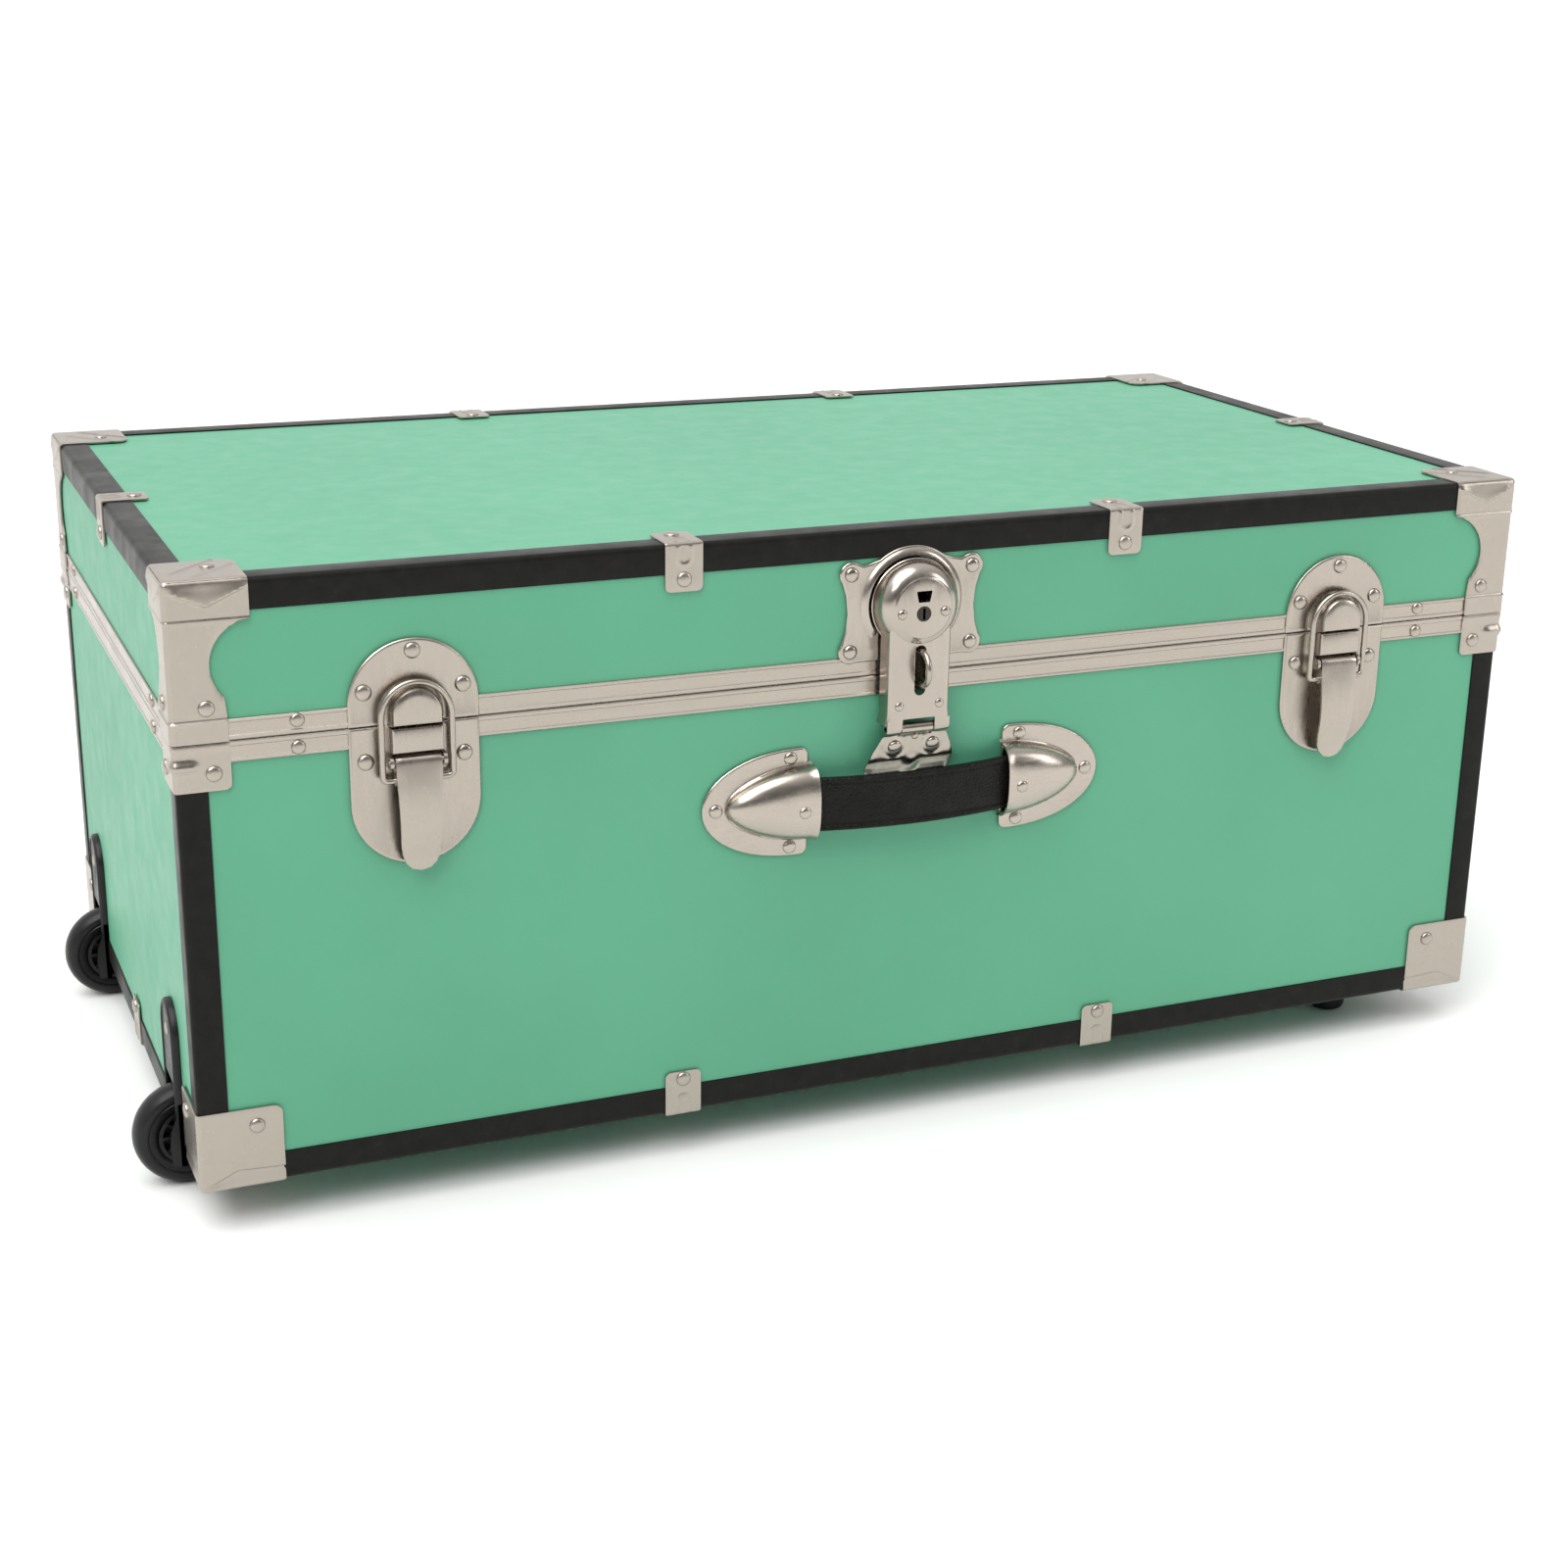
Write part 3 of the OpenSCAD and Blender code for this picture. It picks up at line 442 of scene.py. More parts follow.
def lining():
    """Printed paper, matt, with a faint fibre."""
    paper = (0.74, 0.71, 0.62)
    s = Shader("lining_paper", 0.85)
    s.paint(s.colour(s.noise(160, 6, 0.7), [(0.35, shade(paper, 0.92)), (0.65, shade(paper, 1.03))]))
    s.gloss(s.ranged(s.noise(45, 3), 0.3, 0.7, 0.78, 0.92))
    s.bump(s.noise(700, 4, 0.7), 0.08, 0.6)
    return s.material


def steel(name, tone, rough, streak=(1, 1, 1), wear=1.0):
    """Nickel-plated sheet steel: rolling streaks, smudges and fine scratches."""
    s = Shader(name, rough, 1.0)
    smudge = s.noise(38, 5, 0.6)
    s.paint(s.colour(smudge, [(0.25, shade(tone, 0.94)), (0.6, tone), (0.8, shade(tone, 1.04))]))
    lines = s.noise(420, 2, 0.6, streak)
    handled = s.ranged(smudge, 0.3, 0.7, -0.05 * wear, 0.06 * wear)
    s.gloss(s.combine(handled, s.ranged(lines, 0.3, 0.7, rough - 0.03, rough + 0.05), "ADD"))
    s.bump(s.noise(24, 2), 0.28, 0.35)
    s.bump(lines, 0.012, 0.5)
    return s.material


def black_trim():
    """Steel strip in dark satin paint, with fine lengthwise lines and a little dust."""
    clear, dull, dusty = (0.008, 0.0078, 0.0068), (0.012, 0.0115, 0.010), (0.022, 0.021, 0.018)
    s = Shader("black_trim", 0.38, Specular_IOR_Level=0.11)
    s.paint(s.colour(s.noise(120, 5, 0.65), [(0.3, clear), (0.62, dull), (0.8, dusty)]))
    s.gloss(s.ranged(s.noise(55, 5), 0.3, 0.7, 0.30, 0.44))
    s.bump(s.noise(900, 2, streak=(0.03, 1, 1)), 0.02, 0.5)
    s.bump(s.noise(14, 2), 0.25, 0.35)
    return s.material


def moulded(name, tone, rough, grain=420, depth=0.05):
    """Moulded black plastic or rubber with a faint texture and scuffs."""
    s = Shader(name, rough, Specular_IOR_Level=0.3)
    s.paint(s.colour(s.noise(70, 6, 0.7), [(0.35, shade(tone, 0.6)), (0.6, shade(tone, 0.8)), (0.8, tone)]))
    s.gloss(s.ranged(s.noise(90, 4), 0.3, 0.7, rough - 0.07, rough + 0.1))
    s.bump(s.noise(grain, 3), depth, 0.6)
    return s.material


def strap_vinyl():
    """Black vinyl with a coarse pebble grain."""
    s = Shader("strap_black", 0.36, Specular_IOR_Level=0.13)
    s.paint(s.colour(s.noise(90, 4), [(0.3, (0.006, 0.0056, 0.005)), (0.7, (0.011, 0.0105, 0.009))]))
    s.gloss(s.ranged(s.noise(300, 3), 0.3, 0.7, 0.24, 0.40))
    s.bump(s.cells(900), 0.5, 1.0)
    s.bump(s.noise(1500, 2), 0.12, 0.6)
    return s.material


NICKEL = (0.425, 0.380, 0.332)
vinyl_m = vinyl()
paper_m = lining()
rail_m = steel("rail_steel", NICKEL, 0.26, streak=(0.05, 0.05, 1))
cap_m = steel("cap_steel", NICKEL, 0.31)
latch_m = steel("latch_steel", NICKEL, 0.27, streak=(1, 1, 0.15))
lock_m = steel("lock_steel", shade(NICKEL, 1.02), 0.22, streak=(1, 1, 0.2), wear=0.7)
handle_m = steel("handle_steel", shade(NICKEL, 1.08), 0.25, streak=(0.2, 1, 1), wear=0.8)
hinge_m = steel("hinge_steel", shade(NICKEL, 0.9), 0.34)
pin_m = steel("pin_steel", shade(NICKEL, 0.95), 0.25, wear=0.5)
plug_m = steel("plug_steel", shade(NICKEL, 0.12), 0.30, wear=0.5)
trim_m = black_trim()
cam_m = moulded("cam_black", (0.012, 0.012, 0.012), 0.3)
housing_m = moulded("housing_black", (0.011, 0.011, 0.011), 0.36, 500, 0.03)
tyre_m = moulded("tyre_black", (0.010, 0.010, 0.010), 0.33, 300, 0.03)
hub_m = moulded("hub_black", (0.009, 0.009, 0.009), 0.40)
foot_m = moulded("foot_rubber", (0.014, 0.013, 0.013), 0.55, 500, 0.08)
strap_m = strap_vinyl()


# ---- rails and edge trim ----


def rails():
    """Rolled steel rims of the body and the lid, mitred round the four corners."""
    tongue_top = high("rim_tongue").z
    rail = high("lid_rim_rail").z - LID_LOW

    def swept(profile):
        return tube([[(-HALF + d, d, z), (HALF - d, d, z), (HALF - d, DEPTH - d, z),
                      (-HALF + d, DEPTH - d, z)] for d, z in profile], closed=True)

    def face(far, seam):
        """The outer face, with a small bead along its far edge and a larger one at the seam."""
        side = math.copysign(1, seam - far)
        small = ((0.15, 0), (-0.3, 0.4), (-0.3, 1.5), (0.05, 1.9))
        large = ((0.05, 2.6), (-0.35, 2.2), (-0.35, 0.6), (0.1, 0))
        return [(d, far + s * side) for d, s in small] + [(d, seam - s * side) for d, s in large]

    foot = BODY_TOP - rail
    inside = [(8.5, BODY_TOP), (8.5, tongue_top - 0.4), (8.8, tongue_top), (9.2, tongue_top),
              (9.5, tongue_top - 0.4), (9.5, foot), (7, foot), (7, BODY_TOP - 1),
              (1, BODY_TOP - 1), (1, foot)]
    Piece("body_rail").add(swept(face(foot, BODY_TOP) + inside)).make(
        rail_m, "body", ["body_rim_rail", "rim_tongue"], "rail_steel")
    top = LID_LOW + rail
    inside = [(8, LID_LOW), (8, top), (7, top), (7, LID_LOW + 1), (1, LID_LOW + 1), (1, top)]
    Piece("lid_rail").add(swept(face(top, LID_LOW) + inside)).make(
        rail_m, "lid", ["lid_rim_rail"], "rail_steel")


def strip(start, end, a, b):
    """An angle strip between two points on a box edge; a and b point inwards along its legs."""
    w, r = TRIM_W, 3
    bend = arc(r, r, r, 180, 270, 6)
    profile = [(1, w), (0.6, w), (0.1, w - 0.25), (0, w - 0.8)] + bend
    profile += [(w - 0.8, 0), (w - 0.25, 0.1), (w, 0.6), (w, 1), (1, 1)]
    a, b = Vector(a), Vector(b)
    return tube([[Vector(p) + a * u + b * v for u, v in profile] for p in (start, end)])


def trims():
    """Black strips over the box's edges, between the corner caps."""
    w = TRIM_W
    sides = ((0, (0, 1, 0)), (DEPTH, (0, -1, 0)))
    ends = ((-HALF, (1, 0, 0)), (HALF, (-1, 0, 0)))
    lid = Piece("lid_trim")
    for y, inwards in sides:
        lid.add(strip((-HALF + w, y, HEIGHT), (HALF - w, y, HEIGHT), inwards, (0, 0, -1)))
    for x, inwards in ends:
        lid.add(strip((x, w, HEIGHT), (x, DEPTH - w, HEIGHT), inwards, (0, 0, -1)))
    lid.make(trim_m, "lid", ["lid_edge_trims"], "black_trim")
    for name, (y, inwards) in zip(("front", "rear"), sides):
        solid = strip((-HALF + w, y, 0), (HALF - w, y, 0), inwards, (0, 0, 1))
        Piece(f"{name}_bottom_trim").add(solid).make(
            trim_m, "body", [f"bottom_{name}_trim"], "black_trim")
    near, far = low("front_wheel_housing").y, high("front_wheel_housing").y
    whole, broken = [(w, DEPTH - w)], [(w, near), (far, DEPTH - far), (DEPTH - near, DEPTH - w)]
    for name, (x, inwards), lengths in (("right", ends[1], whole), ("left", ends[0], broken)):
        piece = Piece(f"{name}_bottom_trim")
        for a, b in lengths:
            piece.add(strip((x, a, 0), (x, b, 0), inwards, (0, 0, 1)))
        piece.make(trim_m, "body", [f"bottom_{name}_trim"], "black_trim")
    uprights = Piece("upright_trim")
    top = high("upright_trims").z
    for y, inwards in sides:
        for x, across_in in ends:
            uprights.add(strip((x, y, w), (x, y, top), inwards, across_in))
    uprights.make(trim_m, "body", ["upright_trims"], "black_trim")


# ---- pressed corner caps ----

CAP_OUT = 0.9  # outer face of caps and clips, out from the box
FOLD = 2.6  # radius of their folds
FOLD_LINES = [0.35, 0.8, 1.3, 1.9, FOLD]


def cap_solid(side, press_side, flat=None, press_flat=None):
    """A cap folded round a box corner: one sheet is laid both ways from it, and another lies on the
    top or underside. Points are distances from the box's end, its front and that flat face."""
    thickness, drop = 0.8, 0.3
    index, points, faces, heights = {}, [], [], []
    sheets = [(side, press_side, lambda u, v: (u, 0, v)), (side, press_side, lambda u, v: (0, u, v))]
    if flat:
        sheets.append((flat, press_flat, lambda u, v: (u, v, 0)))
    for part, press, place in sheets:
        names = []
        for u, v in part[0]:
            p = place(u, v)
            key = tuple(round(c, 3) for c in p)
            if key not in index:
                index[key] = len(points)
                points.append(Vector(p))
                heights.append(press(u, v))
            names.append(index[key])
        faces += [tuple(names[i] for i in f) for f in part[1]]
    edges = {}
    for f in faces:
        for a, b in zip(f, f[1:] + f[:1]):
            key = (min(a, b), max(a, b))
            edges.setdefault(key, []).append((a, b))
    border = [pairs[0] for pairs in edges.values() if len(pairs) == 1]
    rim = {i for pair in border for i in pair}
    front, back = [], []
    for i, (p, h) in enumerate(zip(points, heights)):
        core = Vector([max(c, FOLD) for c in p])
        inwards = (core - p).normalized()
        surface = core - inwards * FOLD
        h -= drop if i in rim else 0
        front.append(surface - inwards * h)
        back.append(surface - inwards * (h - thickness))
    n = len(points)
    solid = faces + [tuple(i + n for i in reversed(f)) for f in faces]
    solid += [(a, b, b + n, a + n) for a, b in border]
    return front + back, solid


def repeat(name, body, node, solid, places):
    """One piece made of the same pressed solid at each place."""
    piece = Piece(name)
    for place in places:
        piece.add(solid, place)
    piece.make(cap_m, body, [node], "cap_steel", sharp=50)


def corner_places(z_edge, flip):
    """Matrices that take a cap's distances from a corner to each of the four corners."""
    turn = Matrix(((-1, 0, 0, HALF + CAP_OUT), (0, 1, 0, -CAP_OUT), (0, 0, flip, z_edge), (0, 0, 0, 1)))
    mirror_x = Matrix.Diagonal((-1, 1, 1, 1))
    mirror_y = Matrix.Translation((0, DEPTH, 0)) @ Matrix.Diagonal((1, -1, 1, 1))
    return [turn, mirror_x @ turn, mirror_y @ turn, mirror_x @ mirror_y @ turn]


def line_through(p, q):
    """Three cutting lines along a crease."""
    d = (Vector(q) - Vector(p)).normalized()
    n = Vector((-d.y, d.x))
    return [(tuple(Vector(p) + n * k), tuple(n)) for k in (-0.5, 0, 0.5)]


def lid_caps():
    """Tall caps at the lid's corners: a creased band, a scalloped waist and a foot on the rail."""
    top = HEIGHT + CAP_OUT
    width = 40
    band, rail, scallop = top - 292, top - (LID_LOW + 10.4), top - 270
    outline = [(0, 0), (width, 0), (width, band - 0.8)]
    outline += [(42 + 22 * math.cos(math.radians(a)), scallop - 22 * math.sin(math.radians(a)))
                for a in span(98, 224, 7)]
    outline += [(27.3, rail), (27.3, top - LID_LOW), (0, top - LID_LOW)]
    vee = ((4, top - 305.5), (20, top - 298.6), (37, top - 306.3))
    cuts = across(FOLD_LINES + span(4, 38, 1.1))
    cuts += up_at(FOLD_LINES + span(4.2, band - 2, 1.6) + span(band - 1.4, band + 1.4, 0.4))
    cuts += up_at(span(band + 3, rail - 3, 3) + span(rail - 1.4, rail + 1.4, 0.4))
    cuts += up_at(span(rail + 3, top - LID_LOW - 2, 2.5))
    cuts += line_through(*vee[:2]) + line_through(*vee[1:])
    side = sheet(outline, cuts)

    def press_side(u, c):
        """The band and its crease above, the foot's step and its two beads below."""
        h = 0.2 * smooth(band - c, -0.4, 0.4) + 0.5 * ridge(c - band, 1.2)
        h += 0.45 * smooth(c, rail - 0.4, rail + 0.4) + 0.5 * ridge(c - rail, 1.1)
        h += 0.3 * ridge(c - (top - LID_LOW), 1.6)
        crease = between(u, vee)
        edge_fade = smooth(u, 2.6, 6) * smooth(width - u, 0.5, 3)
        h += 0.9 * edge_fade * smooth(crease - c, -0.35, 0.35) * smooth(c, 1.6, crease + 0.01)
        return h * smooth(c, 0, 3)

    leaf = rounded([(0, 0), (width, 0), (width, width), (0, width)], [0, 0, 7, 0])
    grid = FOLD_LINES + span(4, 38, 1.7)
    flat = sheet(leaf, across(grid) + up_at(grid))

    def press_top(u, b):
        d = math.hypot(u - 26, b - 26)
        along = (u + b) / math.sqrt(2)
        off = abs(u - b) / math.sqrt(2)
        rib = ridge(off - 6.5, 1.6) * smooth(along, 14, 18) * smooth(52 - along, 0, 4)
        return 0.7 * rib + 0.35 * ridge(d, 6)

    solid = cap_solid(side, press_side, flat, press_top)
    repeat("lid_caps", "lid", "lid_corner_caps", solid, corner_places(top, -1))


def bottom_caps():
    """Square caps at the body's bottom corners, with a fold pressed in near the floor."""
    width = 42.9
    vee = ((3, 2.6), (19, 10.2), (42, 9.2))
    corner = [(0, 0), (width, 0), (width, width), (0, width)]
    outline = rounded(corner, [0, 0, 4.5, 0])
    grid = FOLD_LINES + span(4, 41, 1.9)
    cuts = across(grid) + up_at(grid)
    side = sheet(outline, cuts + line_through(*vee[:2]) + line_through(*vee[1:]))
    flat = sheet(rounded(corner, [0, 0, 8, 0]), across(grid) + up_at(grid))

    def press_side(u, c):
        crease = between(u, vee)
        drop = smooth(crease - c, -0.35, 0.35) * smooth(c, 0.5, crease)
        buckle = 0.35 * ridge(math.hypot((u - 16) / 2.4, c - 14), 4)
        return (buckle - 0.75 * drop) * smooth(u, 1.5, 5) * smooth(c, 0, 3)

    solid = cap_solid(side, press_side, flat, lambda u, b: 0)
    repeat("bottom_caps", "body", "bottom_corner_caps", solid, corner_places(-CAP_OUT, 1))


def rim_caps():
    """Small caps under the body's rim, each with a rib pressed out across the corner."""
    top, bottom = BODY_TOP, low("rim_corner_caps").z
    tall = top - bottom
    clear = 20  # keeps the sheet off the fold along the top, which these caps don't have
    outline = rounded([(0, 0), (27.5, 0), (27.5, tall), (0, tall)], [0, 0.8, 3, 0])
    grid = span(4, 26, 1.1)
    side = sheet(outline, across(FOLD_LINES + grid) + up_at(span(1, tall - 0.8, 0.9)))
    rib = tall - 12.8

    def press_side(u, c):
        c -= clear
        reach = math.hypot(max(u - 9, 0) * 0.9, c - rib)
        return 1.5 * ridge(reach, 4.2) + 0.4 * smooth(3.6 - c, -0.4, 0.4)

    lifted = ([(u, c + clear) for u, c in side[0]], side[1])
    solid = cap_solid(lifted, press_side)
    repeat("rim_caps", "body", "rim_corner_caps", solid, corner_places(top + clear, -1))


# ---- edge clips and rivets ----


def clips():
    """Clips folded over the long and short edges, each with a U-shaped rib from the fold."""
    half, leg, fold = 10, 25.2, 1.6
    outline = rounded([(-half, -leg), (half, -leg), (half, leg), (-half, leg)], 3)
    lines = span(-8.8, 8.8, 0.8)
    along = [-2.2] + span(-1.6, 1.6, 0.4) + [2.2] + span(3, 13, 0.8) + span(-13, -3, 0.8)
    flat = sheet(outline, across(lines) + up_at(along + [17, 21, -17, -21]), lip=0.6)

    def height(u, s):
        s = abs(s)
        d = (abs(u) if s < 8 else math.hypot(u, s - 8)) - 3.5
        return 0.55 * ridge(d, 1.3) * smooth(s, 0.6, 2.4) + 0.25 * ridge(math.hypot(u, s - 18.6), 6.5)

    def wrap(u, s, h):
        if s > fold:
            return u, -CAP_OUT - h, CAP_OUT - s
        if s < -fold:
            return u, -CAP_OUT - s, CAP_OUT + h
        t = math.radians(45 * (s / fold + 1))
        r = fold + h
        return u, fold - CAP_OUT - r * math.sin(t), CAP_OUT - fold + r * math.cos(t)

    solid = pressed(flat, height, wrap, 0.8)
    over, under = Matrix.Translation((0, 0, HEIGHT)), turned(90, "X")
    places = [Matrix.Translation((x, y, 0)) @ turned(angle) for x, y, angle in
              ((CLIP_X, 0, 0), (-CLIP_X, 0, 0), (CLIP_X, DEPTH, 180), (-CLIP_X, DEPTH, 180),
               (HALF, DEPTH / 2, 90), (-HALF, DEPTH / 2, -90))]
    repeat("lid_clips", "lid", "lid_edge_clips", solid, [place @ over for place in places])
    repeat("body_clips", "body", "body_edge_clips", solid, [place @ under for place in places])


def facing_rivets(piece, x, y, z, out, r=4.0):
    """Rivets both ways from the middle: at x on the front and rear, and at y on the ends."""
    for sign in (-1, 1):
        piece.add(rivet(sign * x, z, out, r))
        piece.add(rivet(sign * x, z, 0, r, axis=(0, 1, 0), y=DEPTH + out))
        for end_y in sorted({y, DEPTH - y}):
            piece.add(rivet(sign * (HALF + out), z, 0, r, axis=(sign, 0, 0), y=end_y))


def rivets():
    body = Piece("body_rivet_heads")
    facing_rivets(body, HALF - 29, 29, 32.5, CAP_OUT)
    facing_rivets(body, HALF - 18.4, 18.4, 217.8, CAP_OUT)
    facing_rivets(body, CLIP_X, DEPTH / 2, 20, CAP_OUT)
    facing_rivets(body, HALF - 59, 57, BODY_TOP - 6.3, 0, 3.6)
    body.make(cap_m, "body", ["body_rivets"], "cap_steel")
    lid = Piece("lid_rivet_heads")
    facing_rivets(lid, HALF - 16.6, 16.6, 250, CAP_OUT)
    facing_rivets(lid, CLIP_X, DEPTH / 2, HEIGHT - 18, CAP_OUT)
    facing_rivets(lid, HALF - 59, 57, LID_LOW + 6.8, 0, 3.6)
    on_top = [(HALF - 25, 25, 3.6), (CLIP_X, 18, 4.0), (HALF - 18, DEPTH / 2, 4.0)]
    for x, y, r in on_top:
        for sign in (-1, 1):
            for top_y in sorted({y, DEPTH - y}):
                lid.add(rivet(sign * x, HEIGHT + CAP_OUT, 0, r, 1.4, axis=(0, 0, 1), y=top_y))
    lid.make(cap_m, "lid", ["lid_rivets"], "cap_steel")


# ---- draw latches ----


def latch(side, x0):
    """A draw latch's fixed parts: keeper and boss on the lid, plate and block on the body."""
    move = Matrix.Translation((x0, 0, 0))
    r, top, foot = 32.5, 275.5, 161
    flange = [(0, 0), (0, 0.7), (0.35, 1.1), (0.9, 1.35), (1.6, 1.35), (2.2, 1.2)]
    plate = [(-r, LID_LOW), (r, LID_LOW)] + arc(0, top - r, r, 0, 180, 32)
    keeper = Piece(f"{side}_keeper").add(terrace(plate, flange), move)
    half, boss_top = 13, 252.5
    boss = [(-half, LID_LOW), (half, LID_LOW)] + arc(0, boss_top - half, half, 0, 180, 24)
    steps = [(0, 0.8), (0, 1.2), (0.9, 1.5), (1.4, 2.3), (1.7, 4.5), (2.0, 7), (2.8, 8.3),
             (4.2, 8.9), (6.5, 9.1)]
    keeper.add(terrace(inset(boss, -1.6), steps), move)
    for x, z in ((0, 269.5), (-24.5, 250.5), (24.5, 250.5)):
        keeper.add(rivet(x, z, 1.2, 4.1, 1.9), move)
    keeper.make(latch_m, "lid", [f"{side}_latch_keeper"], "latch_steel")
    plate = [(r, BODY_TOP), (-r, BODY_TOP)] + arc(0, foot + r, r, 180, 360, 32)
    body = Piece(f"{side}_plate").add(terrace(plate, flange), move)
    block = [(-half, 219.8), (half, 219.8), (half, BODY_TOP), (-half, BODY_TOP)]
    body.add(terrace(block, [(0, 0.8), (0, 6.4), (0.5, 7.3), (1.4, 7.7)]), move)
    for sign in (-1, 1):
        ear = arc(LEVER_PIN.y, LEVER_PIN.z, 3.2, 90, 270, 10) + [(-1, 211.8), (-1, 218.2)]
        body.add(tube([[(sign * x, y, z) for y, z in ear] for x in (12.4, 14.2)]), move)
        body.add(rivet(sign * 24.5, 215.5, 1.2, 4.1, 1.9), move)
    body.make(latch_m, "body", [f"{side}_latch_plate"], "latch_steel")


def lever(side, x0):
    """The lever: a bowed tongue rolled over its pin, with two flanges for the bail."""
    pivot_y, pivot_z, curl, length = LEVER_PIN.y, LEVER_PIN.z, 3.2, 56
    half = [(4.5, length - 1.0), (7.8, length - 4.2), (9.6, length - 9), (10.3, length - 15),
            (11.5, 3), (11.5, -6.5)]
    outline = mirrored(half) + [(0, length)]

    def wrap(u, s, h):
        if s < 0:
            t = -s / curl
            r = curl + h
            return u, pivot_y - r * math.cos(t), pivot_z + r * math.sin(t)
        bow = 2.4 * math.sin(math.pi * min(s / 50, 1)) - 1.6 * smooth(s, 30, 56)
        return u, pivot_y - curl - bow - h, pivot_z - s

    def height(u, s):
        return -0.3 * (abs(u) / 11) ** 4 * smooth(s, 2, 10)

    flat = sheet(outline, across(span(-9.6, 9.6, 2.4)) + up_at(span(-6, 54, 1.5)), lip=0.6)
    move = Matrix.Translation((x0, 0, 0))
    piece = Piece(f"{side}_lever").add(pressed(flat, height, wrap, 1.2), move)
    r, bail_z = 2.7, 206
    cheek = arc(pivot_y, bail_z, r, 180, 360, 10) + arc(pivot_y, pivot_z, r, 0, 90, 6)
    cheek.append((pivot_y - r, pivot_z + 2))
    for sign in (-1, 1):
        piece.add(tube([[(sign * x, y, z) for y, z in cheek] for x in (10.4, 11.5)]), move)
    piece.make(latch_m, f"{side}_lever", [f"{side}_latch_lever"], "latch_steel")


def bail(side, x0):
    """The wire bail, with soft bends where its ends turn in."""
    y, r, half, low_z, top, bend = LEVER_PIN.y, 1.6, 17.5, 206, 256.5, 2.5
    arch = [(x, y, z) for x, z in arc(0, top - r - half, half, 0, 180, 32)]
    right = [(x, y, z) for x, z in arc(half - bend, low_z + bend, bend, 270, 360, 6)]
    right = [(9.7, y, low_z)] + right + [(half, y, 220)]
    path = right + arch + [(-x, yy, z) for x, yy, z in reversed(right)]
    piece = Piece(f"{side}_bail").add(wire(path, r), Matrix.Translation((x0, 0, 0)))
    piece.make(latch_m, f"{side}_bail", [f"{side}_latch_bail"], "latch_steel")


# ---- lock ----


def back_plate():
    """The plate behind the hasp: four lobes, an arched top and a raised ring."""
    lobe, cx, low_z, high_z = 6.5, 34.5, 247, 288
    half = [(cx - 3, 241)] + arc(cx, low_z, lobe, -95, 40, 10)
    half += [(37.3, 258), (36.3, 267.5), (37.3, 277)] + arc(cx, high_z, lobe, -40, 115, 12)
    half += [(28.0, 292.2), (24, 293)] + arc(0, DOME_Z, 30, 52, 88, 8)
    edge = [(0, 0), (0, 0.7), (0.35, 1.1), (0.8, 1.3), (1.4, 1.3), (1.9, 1.2)]
    plate = Piece("lock_plate").add(terrace(mirrored(half), edge))
    ring = []
    start, end, fade = -38, 218, 8
    for a in span(start, end, 5):
        t = math.radians(a)
        rise = smooth(a, start, start + fade) * smooth(end - a, 0, fade)
        profile = [(24.2, 0.6), (24.5, 1.0 + 1.2 * rise), (25.6, 1.2 + 2.0 * rise),
                   (27.0, 1.2 + 1.7 * rise), (28.4, 1.1 + 0.6 * rise), (29.2, 0.9), (29.2, 0.5)]
        ring.append([(r * math.cos(t), -out, DOME_Z + r * math.sin(t)) for r, out in profile])
    plate.add(tube(ring))
    plate.add(slab((-14, -2.2, 226), (14, -1, 250), 2))
    for x in (-cx, cx):
        for z in (low_z, high_z):
            plate.add(rivet(x, z, 1.2, 3.9, 1.8))
    plate.make(lock_m, "lid", ["lock_back_plate"], "lock_steel")


